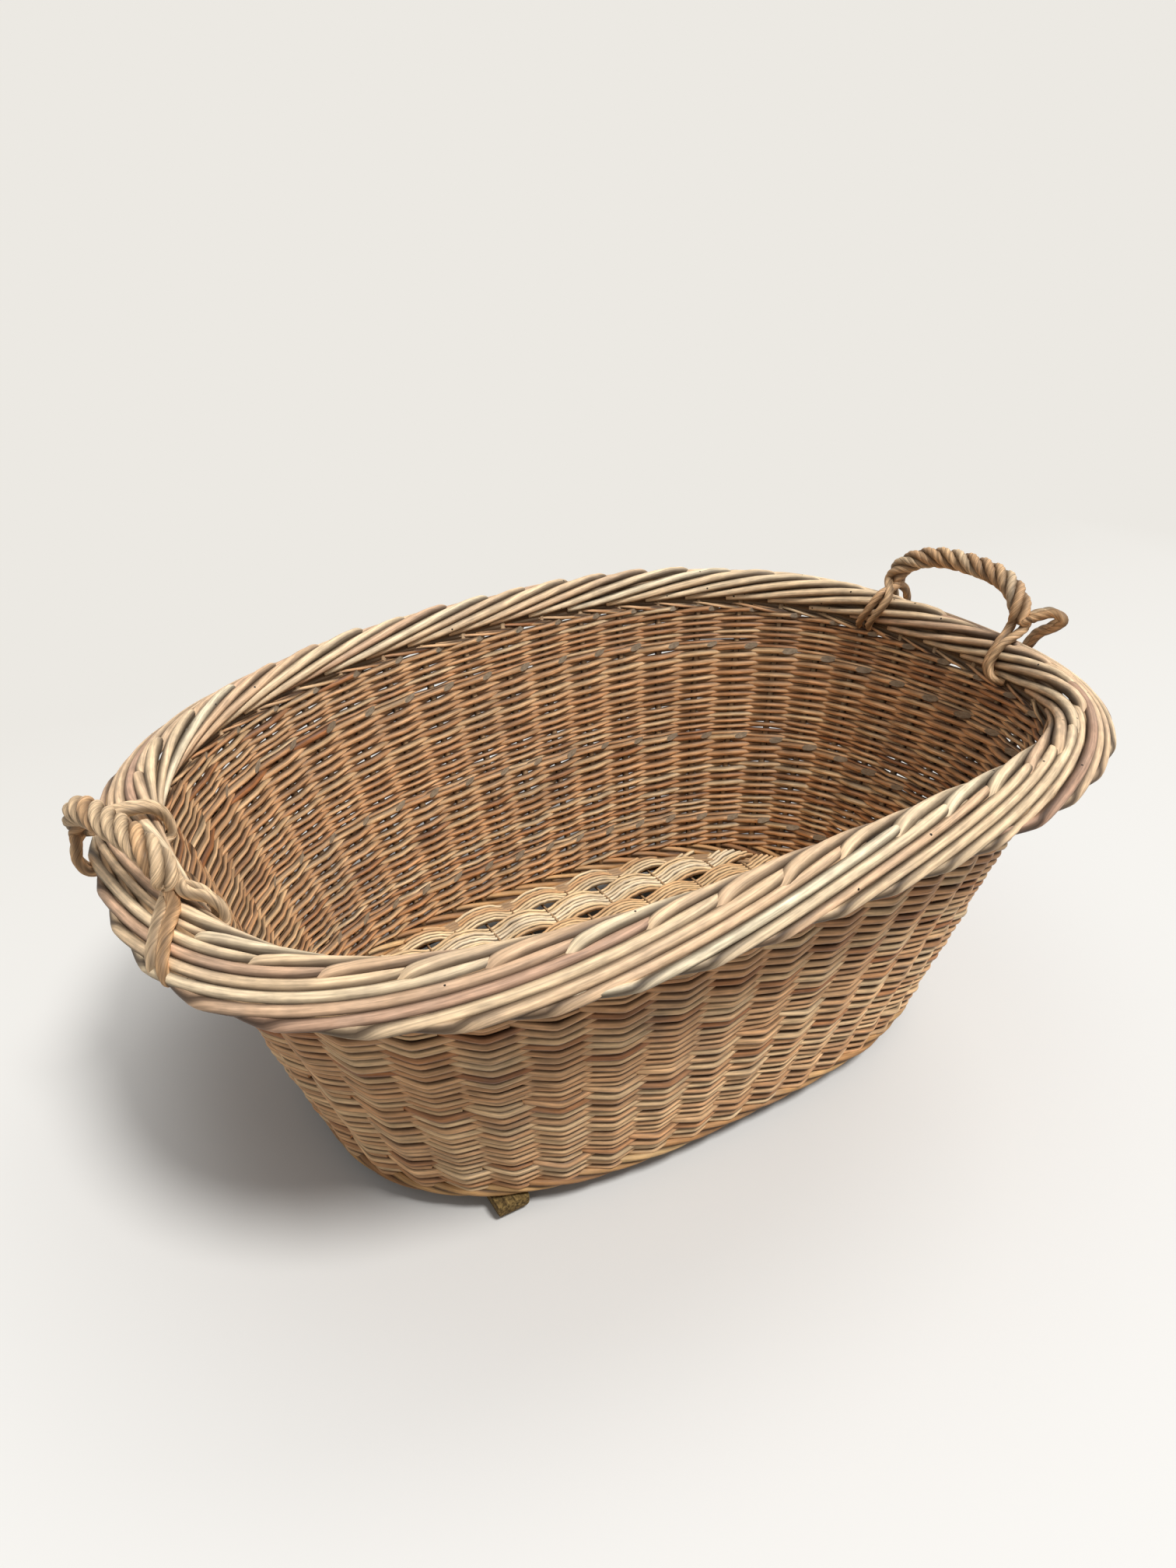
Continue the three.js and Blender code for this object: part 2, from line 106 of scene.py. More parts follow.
def placed(name: str, data: bpy.types.ID) -> bpy.types.Object:
    """Makes an object and puts it in the scene.

    Args:
        name: Name of the object.
        data: Its mesh, light or camera.

    Returns:
        The object, at the origin.
    """
    made = bpy.data.objects.new(name, data)
    bpy.context.scene.collection.objects.link(made)
    return made


def empty_tree(owner: bpy.types.Material | bpy.types.World) -> bpy.types.NodeTree:
    """Clears the nodes of a material or a world.

    Args:
        owner: The material or world.

    Returns:
        Its node tree, now empty.
    """
    owner.use_nodes = True
    owner.node_tree.nodes.clear()
    return owner.node_tree


@dataclass(frozen=True)
class Willow:
    """Willow rods, buff from boiling or brown with age, peeled and left bare.

    The eye gets long fine streaks along each rod, rods of unlike tone side by side, greyed patches
    some 45 mm across, mottles 11 mm long and 4 mm wide, painted shade in the creases where rods
    touch and a soft dull shine. Worms have left a few round holes in old rods, up to 1.8 mm across,
    drawn as dots of painted shade.
    """

    name: str
    tones: tuple[str, ...]
    grey: str = "#8f8173"
    grey_share: float = 0.35
    # Painted shade: a near-black brown laid over the sides of each rod that face its neighbours, where shade
    # falls.
    painted_shade: str = "#2b1a0e"
    painted_shade_share: float = 0.9
    crease_start: float = 0.48
    crease_end: float = 0.98
    roughness: float = 0.55
    smoother: float = 0.08
    rougher: float = 0.12
    streak_length: float = 0.030
    streak_width: float = 0.0014
    streak_low: float = 0.70
    streak_high: float = 1.2
    streak_range: tuple[float, float] = (0.3, 0.7)
    streak_relief: float = 0.0004
    patches_per_metre: float = 22.0
    patch_range: tuple[float, float] = (0.48, 0.72)
    mottles_per_metre: tuple[float, float, float] = (90.0, 260.0, 260.0)
    mottle_low: float = 0.84
    mottle_high: float = 1.12
    mottle_range: tuple[float, float] = (0.3, 0.68)
    # Worm holes are drawn as near-black dots of painted shade.
    hole_shade: str = "#1d130b"
    hole_share: float = 0.0
    hole_radius: float = 0.0009
    hole_cells_per_metre: float = 70.0

    def build(self) -> bpy.types.Material:
        """Makes the material.

        Returns:
            A node material that reads the rods' tint, grain and crease attributes and paints
            shade in the creases.
        """
        material = bpy.data.materials.new(self.name)
        tree = empty_tree(material)
        place = add_node(tree, "TexCoord", {}, "Object")
        tint = add_node(tree, "Attribute", {"attribute_name": "tint"}, "Fac")
        grain = add_node(tree, "Attribute", {"attribute_name": "grain"}, "Vector")
        crease = add_node(tree, "Attribute", {"attribute_name": "crease"}, "Fac")
        last = len(self.tones) - 1
        stops = [(number / last, linear(tone)) for number, tone in enumerate(self.tones)]
        body = add_node(tree, "ValToRGB", {"stops": stops, "Fac": tint})

        across = 1 / self.streak_width
        streak_place = add_node(tree, "Mapping", {
            "Scale": (1 / self.streak_length, across, across), "Vector": grain,
        })
        streaks = add_node(tree, "TexNoise", {
            "Scale": 1.0, "Detail": 3.0, "Roughness": 0.6, "Vector": streak_place,
        })
        patches = add_node(tree, "TexNoise", {
            "Scale": self.patches_per_metre, "Detail": 4.0, "Roughness": 0.62, "Vector": place,
        })
        mottle_place = add_node(tree, "Mapping", {"Scale": self.mottles_per_metre, "Vector": grain})
        mottles = add_node(tree, "TexNoise", {"Scale": 1.0, "Detail": 2.0, "Vector": mottle_place})

        low, high = self.patch_range
        greyed = add_node(tree, "MapRange", {
            "From Min": low, "From Max": high, "To Max": self.grey_share, "Value": patches,
        })
        colour = add_node(tree, "Mix", {
            "data_type": "RGBA", 0: greyed, 6: body, 7: linear(self.grey),
        }, 2)
        for pattern, (low, high), dark, light in (
            (streaks, self.streak_range, self.streak_low, self.streak_high),
            (mottles, self.mottle_range, self.mottle_low, self.mottle_high),
        ):
            value = add_node(tree, "MapRange", {
                "From Min": low, "From Max": high, "To Min": dark, "To Max": light, "Value": pattern,
            })
            colour = add_node(tree, "HueSaturation", {"Value": value, "Color": colour})
        # Painted shade darkens the creases where rods touch.
        painted_shade_mask = add_node(tree, "MapRange", {
            "From Min": self.crease_start, "From Max": self.crease_end, "To Max": self.painted_shade_share,
            "Value": crease,
        })
        colour = add_node(tree, "Mix", {
            "data_type": "RGBA", 0: painted_shade_mask, 6: colour, 7: linear(self.painted_shade),
        }, 2)
        if self.hole_share > 0:
            colour = self._add_holes(tree, place, colour)

        roughness = add_node(tree, "MapRange", {
            "To Min": self.roughness - self.smoother, "To Max": self.roughness + self.rougher,
            "Value": streaks,
        })
        bump = add_node(tree, "Bump", {
            "Strength": 0.35, "Distance": self.streak_relief, "Height": streaks,
        })
        shader = add_node(tree, "BsdfPrincipled", {
            "IOR": 1.45, "Specular IOR Level": 0.35, "Base Color": colour, "Roughness": roughness,
            "Normal": bump,
        })
        add_node(tree, "OutputMaterial", {"Surface": shader})
        return material

    def _add_holes(
        self, tree: bpy.types.NodeTree, place: bpy.types.NodeSocket, colour: bpy.types.NodeSocket
    ) -> bpy.types.NodeSocket:
        """Adds the round exit holes of woodworm as dots of painted shade.

        Args:
            tree: Node tree of the material.
            place: Object coordinates.
            colour: Colour without holes.

        Returns:
            Colour with the holes' painted shade.
        """
        cells = self.hole_cells_per_metre
        distance = add_node(tree, "TexVoronoi", {"Scale": cells, "Vector": place}, "Distance")
        inside = add_node(tree, "Math", {
            "operation": "LESS_THAN", 0: distance, 1: self.hole_radius * cells,
        })
        drawn = add_node(tree, "SeparateColor", {"Color": distance.node.outputs["Color"]})
        chosen = add_node(tree, "Math", {"operation": "LESS_THAN", 0: drawn, 1: self.hole_share})
        hole_shade = add_node(tree, "Math", {"operation": "MULTIPLY", 0: inside, 1: chosen})
        # Painted shade fills the worm holes.
        return add_node(tree, "Mix", {"data_type": "RGBA", 0: hole_shade, 6: colour, 7: linear(self.hole_shade)}, 2)


@dataclass(frozen=True)
class OldBoard:
    """Sawn softwood, worn and dirty from standing on the ground.

    The eye gets dull brown wood with open grain every 2 mm and dark specks about 2 mm across.
    """

    name: str = "old board"
    light: str = "#8f7647"
    dark: str = "#4c3a20"
    grain_spacing: float = 0.0022
    grain_breaks_per_metre: float = 14.0
    grain_range: tuple[float, float] = (0.34, 0.62)
    grain_relief: float = 0.0006
    specks_per_metre: float = 480.0
    speck_range: tuple[float, float] = (0.36, 0.6)
    speck_low: float = 0.5
    speck_high: float = 1.15

    def build(self) -> bpy.types.Material:
        """Makes the material.

        Returns:
            A node material with grain along y.
        """
        material = bpy.data.materials.new(self.name)
        tree = empty_tree(material)
        place = add_node(tree, "TexCoord", {}, "Object")
        across = 1 / self.grain_spacing
        stretched = add_node(tree, "Mapping", {
            "Scale": (across, self.grain_breaks_per_metre, across), "Vector": place,
        })
        grain = add_node(tree, "TexNoise", {
            "Scale": 1.0, "Detail": 4.0, "Roughness": 0.6, "Vector": stretched,
        })
        specks = add_node(tree, "TexNoise", {
            "Scale": self.specks_per_metre, "Detail": 2.0, "Vector": place,
        })
        stops = list(zip(self.grain_range, (linear(self.dark), linear(self.light))))
        wood = add_node(tree, "ValToRGB", {"stops": stops, "Fac": grain})
        low, high = self.speck_range
        value = add_node(tree, "MapRange", {
            "From Min": low, "From Max": high, "To Min": self.speck_low, "To Max": self.speck_high,
            "Value": specks,
        })
        colour = add_node(tree, "HueSaturation", {"Value": value, "Color": wood})
        bump = add_node(tree, "Bump", {"Strength": 0.6, "Distance": self.grain_relief, "Height": grain})
        shader = add_node(tree, "BsdfPrincipled", {
            "IOR": 1.45, "Roughness": 0.8, "Specular IOR Level": 0.3, "Base Color": colour,
            "Normal": bump,
        })
        add_node(tree, "OutputMaterial", {"Surface": shader})
        return material


def walked(paths: np.ndarray) -> np.ndarray:
    """Measures how far each point lies along its path.

    Args:
        paths: Points, with a last axis of coordinates and paths along the axis before it.

    Returns:
        Length walked at each point, from 0.
    """
    steps = np.linalg.norm(np.diff(paths, axis=-2), axis=-1)
    return np.concatenate([np.zeros_like(steps[..., :1]), np.cumsum(steps, axis=-1)], axis=-1)


def unit(ways: np.ndarray) -> np.ndarray:
    """Gives directions, which lie along the last axis, a length of 1."""
    return ways / np.linalg.norm(ways, axis=-1, keepdims=True)


def square_to(ahead: np.ndarray, ways: np.ndarray) -> np.ndarray:
    """Turns directions square to the unit directions ahead and gives them a length of 1."""
    return unit(ways - np.sum(ways * ahead, axis=-1, keepdims=True) * ahead)


def smooth_curve(where: np.ndarray, marks: np.ndarray, values: np.ndarray) -> np.ndarray:
    """Runs a smooth curve through values at marks.

    Args:
        where: Places to read the curve at.
        marks: Rising places of the known values.
        values: Known values.

    Returns:
        The curve's values, by cubic pieces whose slopes follow the neighbours.
    """
    slopes = np.gradient(values, marks)
    index = np.clip(np.searchsorted(marks, where, side="right") - 1, 0, len(marks) - 2)
    width = marks[index + 1] - marks[index]
    share = np.clip((where - marks[index]) / width, 0, 1)
    low, high = values[index], values[index + 1]
    low_slope, high_slope = slopes[index] * width, slopes[index + 1] * width
    cube, square = share ** 3, share ** 2
    return (
        (2 * cube - 3 * square + 1) * low + (cube - 2 * square + share) * low_slope
        + (3 * square - 2 * cube) * high + (cube - square) * high_slope
    )


def even_path(points: np.ndarray, count: int, passes: int = 3) -> np.ndarray:
    """Smooths a path and spaces its points evenly.

    Args:
        points: Points of the path, and any other values that change along it.
        count: Number of points to return.
        passes: How often each point is drawn toward its neighbours.

    Returns:
        Evenly spaced points of a smooth path with the same ends, and the other values there.
    """
    marks = walked(points[:, :3])
    where = np.linspace(0, marks[-1], count)
    path = np.stack([smooth_curve(where, marks, column) for column in points.T], axis=1)
    for _ in range(passes):
        path[1:-1] = (path[:-2] + 2 * path[1:-1] + path[2:]) / 4
    return path


@dataclass
class RodMesh:
    """Collects willow rods swept along their paths and joins them into one mesh.

    Each rod's grain is shifted, so that no two have the same streaks.
    """

    sides: int
    groove_depth: float = 0.13
    # Share of painted shade laid in the grooves of twisted strands.
    groove_shade: float = 0.82
    grain_shift: float = 0.731
    corners: list[np.ndarray] = field(default_factory=list)
    faces: list[list[int]] = field(default_factory=list)
    finishes: list[int] = field(default_factory=list)
    tints: list[np.ndarray] = field(default_factory=list)
    creases: list[np.ndarray] = field(default_factory=list)
    grains: list[np.ndarray] = field(default_factory=list)
    rods: int = 0

    def add(
        self,
        paths: np.ndarray,
        radii: np.ndarray | float,
        facing: np.ndarray,
        tints: np.ndarray | float,
        end_slant: float = 0.0,
        cut_end: bool = False,
        twist: float = 0.0,
        grooves: int = 0,
    ) -> None:
        """Sweeps one rod, or a set of rods that have equally many points.

        Args:
            paths: Middle lines, rods by points by 3, or points by 3.
            radii: Radius at each point.
            facing: Direction of the rods' first side at each point.
            tints: One tone from 0 to 1 for each rod.
            end_slant: How far the last cut leans away from the facing side, in radii.
            cut_end: Whether the last cut shows the wood inside the rod.
            twist: How far the rods are twisted, in radians for each metre.
            grooves: Number of grooves that twisting leaves round each rod.
        """
        paths = paths.reshape(-1, *paths.shape[-2:])
        rods, points = paths.shape[:2]
        radii = np.broadcast_to(radii, (rods, points))[:, :, None]
        ahead = unit(np.gradient(paths, axis=1))
        up = square_to(ahead, facing)
        side = np.cross(ahead, up)
        turn = 2 * np.pi * np.arange(self.sides) / self.sides
        along = walked(paths)[:, :, None]
        wound = turn + twist * along
        groove = (0.5 + 0.5 * np.cos(grooves * wound)) ** 2 if grooves else np.zeros(wound.shape)
        reach = radii * (1 - self.groove_depth * groove)
        ways = np.cos(turn)[:, None] * up[:, :, None] + np.sin(turn)[:, None] * side[:, :, None]
        corners = paths[:, :, None] + reach[..., None] * ways
        slant = end_slant * radii[:, -1] * np.cos(turn)
        corners[:, -1] += slant[..., None] * ahead[:, -1, None]

        shift = (self.rods + np.arange(rods))[:, None, None] * self.grain_shift
        grain = np.broadcast_arrays(along + shift, radii * np.cos(wound) + shift, radii * np.sin(wound))
        first = sum(map(len, self.corners)) + np.arange(rods)[:, None, None] * points * self.sides
        row = first + np.arange(points - 1)[:, None] * self.sides
        here, beside = row + np.arange(self.sides), row + np.roll(np.arange(self.sides), -1)
        quads = np.stack([here, beside, beside + self.sides, here + self.sides], axis=3)
        self.faces.extend(quads.reshape(-1, 4).tolist())
        self.finishes.extend([0] * (rods * (points - 1) * self.sides))
        for start in first.ravel().tolist():
            end = start + (points - 1) * self.sides
            self.faces.append(list(range(start + self.sides - 1, start - 1, -1)))
            self.faces.append(list(range(end, end + self.sides)))
            self.finishes.extend([0, int(cut_end)])
        self.corners.append(corners.reshape(-1, 3))
        self.grains.append(np.stack(grain, axis=3).reshape(-1, 3))
        self.tints.append(np.repeat(tints, points * self.sides))
        # Where painted shade goes: 1 on the sides that face neighbouring rods, and high in the grooves.
        self.creases.append(np.maximum(np.abs(np.sin(turn)), self.groove_shade * groove).ravel())
        self.rods += rods

    def build(self, name: str, *materials: bpy.types.Material) -> bpy.types.Object:
        """Makes the object, with smooth sides and flat ends.

        Args:
            name: Name of the object and its mesh.
            *materials: Finish of the rods, then that of their cut ends if they show.

        Returns:
            A mesh object at the origin.
        """
        mesh = bpy.data.meshes.new(name)
        mesh.from_pydata(np.concatenate(self.corners).tolist(), [], self.faces)
        mesh.polygons.foreach_set("use_smooth", [len(face) == 4 for face in self.faces])
        for attribute, kind, key, values in (
            ("tint", "FLOAT", "value", self.tints),
            ("crease", "FLOAT", "value", self.creases),
            ("grain", "FLOAT_VECTOR", "vector", self.grains),
        ):
            data = mesh.attributes.new(attribute, kind, "POINT").data
            data.foreach_set(key, np.concatenate(values).astype(np.float32).ravel())
        for material in materials:
            mesh.materials.append(material)
        mesh.polygons.foreach_set("material_index", self.finishes)
        mesh.update()
        return placed(name, mesh)


def seat(piece: bpy.types.Object, slot: str, *nodes: str) -> None:
    """Fixes a finished piece to the basket and reports it.

    Args:
        piece: The finished piece.
        slot: Not used.
        *nodes: CAD nodes that the piece stands for.
    """
    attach(piece, BODY)
    if nodes:
        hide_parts(*nodes)
    LOG.info("%s: %d faces", piece.name, len(piece.data.polygons))


@dataclass
class Wall:
    """The leaning oval wall that everything follows. Places round it are counted in stakes."""

    base_length: float = 0.524
    base_width: float = 0.338
    rim_length: float = 0.670
    rim_width: float = 0.482
    oval_power: float = 2.69
    stakes: int = 46
    edge_bottom: float = 0.0153
    edge_height: float = 0.014
    top: float = 0.2698
    rim_dip: float = 0.019
    rim_tilt: float = 0.008
    border_growth: float = 0.18
    table_steps: int = 8000
    steps_per_stake: int = 6

    def __post_init__(self) -> None:
        """Works out where equal steps round the middle of the wall lie."""
        self.base = np.array([self.base_length, self.base_width])
        self.rim = np.array([self.rim_length, self.rim_width])
        self.middle = (self.base + self.rim) / 2
        self.lean = (self.rim_length - self.base_length) / 2 / (self.top - self.edge_bottom)
        angle = np.linspace(0, 2 * np.pi, self.table_steps + 1)
        circle = np.stack([np.cos(angle), np.sin(angle)], axis=1)
        self.table = np.sign(circle) * np.abs(circle) ** (2 / self.oval_power)
        length = walked(self.table * self.middle / 2)
        self.table_stake = length / length[-1] * self.stakes

    def once_round(self) -> np.ndarray:
        """Places once round the wall, the first again at the end."""
        return np.linspace(0, self.stakes, self.steps_per_stake * self.stakes + 1)

    def shares(self, stake: np.ndarray) -> np.ndarray:
        """Shares of the half length and half width at places round the wall, by a last axis of 2."""
        wrapped = np.mod(stake, self.stakes)
        return np.stack([np.interp(wrapped, self.table_stake, column) for column in self.table.T], axis=-1)

    def outward(self, stake: np.ndarray) -> np.ndarray:
        """Finds the level directions out of the wall.

        Args:
            stake: Places round the wall.

        Returns:
            Unit directions, with a last axis of 3.
        """
        share = self.shares(stake)
        level = np.sign(share) * np.abs(share) ** (self.oval_power - 1) / self.middle
        return unit(np.concatenate([level, np.zeros_like(level[..., :1])], axis=-1))

    def facing(self, stake: np.ndarray, out: np.ndarray, up: np.ndarray) -> np.ndarray:
        """Finds directions that lean between out of the wall and up.

        Args:
            stake: Places round the wall.
            out: Share that points out of the wall.
            up: Share that points up.

        Returns:
            Directions, with a last axis of 3.
        """
        way = self.outward(stake) * out[..., None]
        way[..., 2] += up
        return way

    def points(
        self, stake: np.ndarray, height: np.ndarray | float, out: np.ndarray | float
    ) -> np.ndarray:
        """Finds points of the wall.

        Args:
            stake: Places round the wall, in stakes from the right end, counter-clockwise.
            height: Heights before the rim's dip and tilt.
            out: Distances out of the middle of the wall.

        Returns:
            Points, with a last axis of 3.
        """
        stake, height, out = np.broadcast_arrays(stake, height, out)
        climb = (height - self.edge_bottom) / (self.top - self.edge_bottom)
        half = (self.base + (self.rim - self.base) * climb[..., None]) / 2
        level = half * self.shares(stake) + self.outward(stake)[..., :2] * out[..., None]
        share = level[..., 0] / half[..., 0]
        lift = (self.rim_tilt * share - self.rim_dip * share ** 2) * climb
        return np.concatenate([level, (height + lift)[..., None]], axis=-1)

    def rim_points(
        self, stake: np.ndarray, out: np.ndarray | float, above: np.ndarray | float
    ) -> np.ndarray:
        """Finds points on the border, which grows taller toward the right end.

        Args:
            stake: Places round the wall.
            out: Distances out of the middle of the wall.
            above: Heights above the wall's top.

        Returns:
            Points, with a last axis of 3.
        """
        places = self.points(stake, self.top, out)
        places[..., 2] += above * (1 + self.border_growth * self.shares(stake)[..., 0])
        return places


@dataclass
class Wickerwork:
    """Work of rods that follow the wall, each a little uneven as hand work is."""

    wall: Wall
    finish: bpy.types.Material
    seed: int

    def __post_init__(self) -> None:
        """Starts the source of the unevenness."""
        self.chance = np.random.default_rng(self.seed)

    def uneven(self, spread: float, *shape: int) -> np.ndarray:
        """Draws small differences of the given spread."""
        return self.chance.normal(0, spread, shape)

    def tints(self, rods: int, tone: tuple[float, float]) -> np.ndarray:
        """Draws a tone from 0 to 1 for each rod, about a middle tone by a spread."""
        return np.clip(self.chance.normal(*tone, rods), 0, 1)


@dataclass(frozen=True)
class Band:
    """One band of side weave, by its height and its rods' diameters."""

    node: str
    bottom: float
    height: float
    thin: float
    thick: float


@dataclass
class SideWeave(Wickerwork):
    """French randing: one rod starts at each stake and climbs clockwise, in front of one stake and
    behind the next, from its thin tip to its thick butt, which is cut off inside the basket."""

    end_finish: bpy.types.Material
    stake_thickness: float = 0.0066
    pitch_per_thickness: float = 1.36
    bend_sharpness: float = 0.985
    squeeze: float = 0.80
    band_overlap: float = 0.0018
    tip_start: float = -1.35
    butt_end: float = 0.36
    butt_reach: float = 1.1
    butt_slant: float = 2.2
    stake_samples: tuple[float, ...] = (0.0, 0.06, 0.17, 0.36, 0.64, 0.83, 0.94)
    wobble: float = 0.0004
    girth_spread: float = 0.07
    tone: tuple[float, float] = (0.5, 0.18)
    bands: tuple[Band, ...] = (
        Band("weave_band_1", 0.0296, 0.028, 0.0047, 0.0064),
        Band("weave_band_2", 0.0579, 0.082, 0.0043, 0.0064),
        Band("weave_band_3", 0.1402, 0.088, 0.0043, 0.0064),
        Band("weave_band_4", 0.2285, 0.034, 0.0040, 0.0055),
    )

    def build(self) -> None:
        """Builds one piece for each band."""
        for number, band in enumerate(self.bands):
            self.chance = np.random.default_rng(self.seed + number)
            mesh = self._weave(band).build(f"{band.node}_rods", self.finish, self.end_finish)
            seat(mesh, "weave", band.node)

    def _weave(self, band: Band) -> RodMesh:
        """Weaves the rods of one band.

        Args:
            band: The band to weave.

        Returns:
            Mesh of the rods.
        """
        climb_space = band.height - (band.thin + band.thick) / 2 + self.band_overlap
        mean_pitch = self.pitch_per_thickness * (band.thin + band.thick) / 2
        passed = max(2, 2 * round(climb_space / mean_pitch))
        pitch_scale = climb_space / (passed / 2) / mean_pitch
        low_pitch = self.pitch_per_thickness * band.thin * pitch_scale
        high_pitch = self.pitch_per_thickness * band.thick * pitch_scale
        start, end = self.tip_start, passed + self.butt_end
        samples = (np.arange(-2, passed + 1)[:, None] + np.array(self.stake_samples)).ravel()
        step = np.concatenate([[start], samples[(samples > start) & (samples < end)], [end]])
        rods = self.wall.stakes

        share = np.clip(step / passed, 0, 1)
        radius = (band.thin + (band.thick - band.thin) * share) / 2
        rise = (low_pitch * step + (high_pitch - low_pitch) * step ** 2 / (2 * passed)) / 2
        wave = np.arcsin(self.bend_sharpness * np.cos(np.pi * step)) / math.asin(self.bend_sharpness)
        wave = np.where(step > passed, self.butt_reach, wave)
        reach = (self.stake_thickness / 2 + radius) * self.squeeze

        knots = np.arange(passed + 4)
        drift, drift_out = (
            np.stack([np.interp(step + 2, knots, row) for row in self.uneven(self.wobble, rods, passed + 4)])
            for _ in range(2)
        )
        radii = radius * (1 + self.uneven(self.girth_spread, rods, 1))
        stake = np.arange(rods)[:, None] - step
        out = drift_out - wave * reach
        height = band.bottom + band.thin / 2 + rise + drift - self.wall.lean * out
        mesh = RodMesh(sides=8)
        mesh.add(
            self.wall.points(stake, height, out), radii, self.wall.outward(stake),
            self.tints(rods, self.tone), end_slant=self.butt_slant, cut_end=True,
        )
        return mesh


@dataclass
class Stakes(Wickerwork):
    """Upright stakes, which show between the woven rods and are never quite straight."""

    thickness: float = 0.0066
    bottom: float = 0.022
    half_way: float = 0.15
    proud: float = 0.004
    steps: int = 12
    lean_spread: float = 0.02
    girth_spread: float = 0.03
    tone: tuple[float, float] = (0.45, 0.2)

    def build(self) -> None:
        """Builds one rod for each stake."""
        height = np.linspace(self.bottom, self.wall.top + self.proud, self.steps)
        bends = [self.bottom, self.half_way, self.wall.top]
        for number in range(self.wall.stakes):
            stake = number + np.interp(height, bends, self.uneven(self.lean_spread, 3))
            radii = self.thickness / 2 * (1 + self.uneven(self.girth_spread, self.steps))
            path = self.wall.points(stake, height, 0.0)
            mesh = RodMesh(sides=10)
            mesh.add(path, radii, self.wall.outward(stake), self.tints(1, self.tone))
            node = f"stake_{number + 1:02d}"
            seat(mesh.build(f"{node}_rod", self.finish), "stake", node)


@dataclass
class RoundEdge(Wickerwork):
    """A ring of rods twisted round the wall, such as the bottom edge or the wale under the border.

    Each rod starts at a stake and ends some stakes on, and both its ends are tucked in.
    """

    node: str
    slot: str
    middle: float
    half_width: float
    half_height: float
    rod: float
    strands: int
    start_angle: float = -0.75 * np.pi
    tip: float = 0.7
    butt: float = 0.3
    ease: float = 0.9
    tucked_share: float = 0.35
    steps_per_stake: int = 7
    girth_spread: float = 0.06
    wobble: float = 0.0004
    tone: tuple[float, float] = (0.5, 0.22)

    def build(self) -> None:
        """Builds the ring."""
        rods = self.wall.stakes
        start, end = -self.tip, self.strands + self.butt
        step = np.linspace(start, end, self.steps_per_stake * (self.strands + 1) + 1)
        stake = np.arange(rods)[:, None] - step
        clear = np.clip(np.minimum(step - start, end - step) / self.ease, 0, 1)
        swing = self.tucked_share + (1 - self.tucked_share) * clear
        angle = self.start_angle + 2 * np.pi * step / self.strands
        radii = self.rod / 2 * (1 + self.uneven(self.girth_spread, rods, 1))
        out = (self.half_width - self.rod / 2) * np.cos(angle) * swing
        above = (self.half_height - self.rod / 2) * np.sin(angle) * swing
        wander = self.uneven(self.wobble, rods, 1)
        paths = self.wall.points(stake, self.middle + above + wander, out + wander)
        facing = self.wall.facing(stake, np.cos(angle), np.sin(angle))
        mesh = RodMesh(sides=10)
        mesh.add(paths, radii, facing, self.tints(rods, self.tone))
        seat(mesh.build(f"{self.node}_rods", self.finish), self.slot, self.node)


Curve = tuple[tuple[float, float], ...]


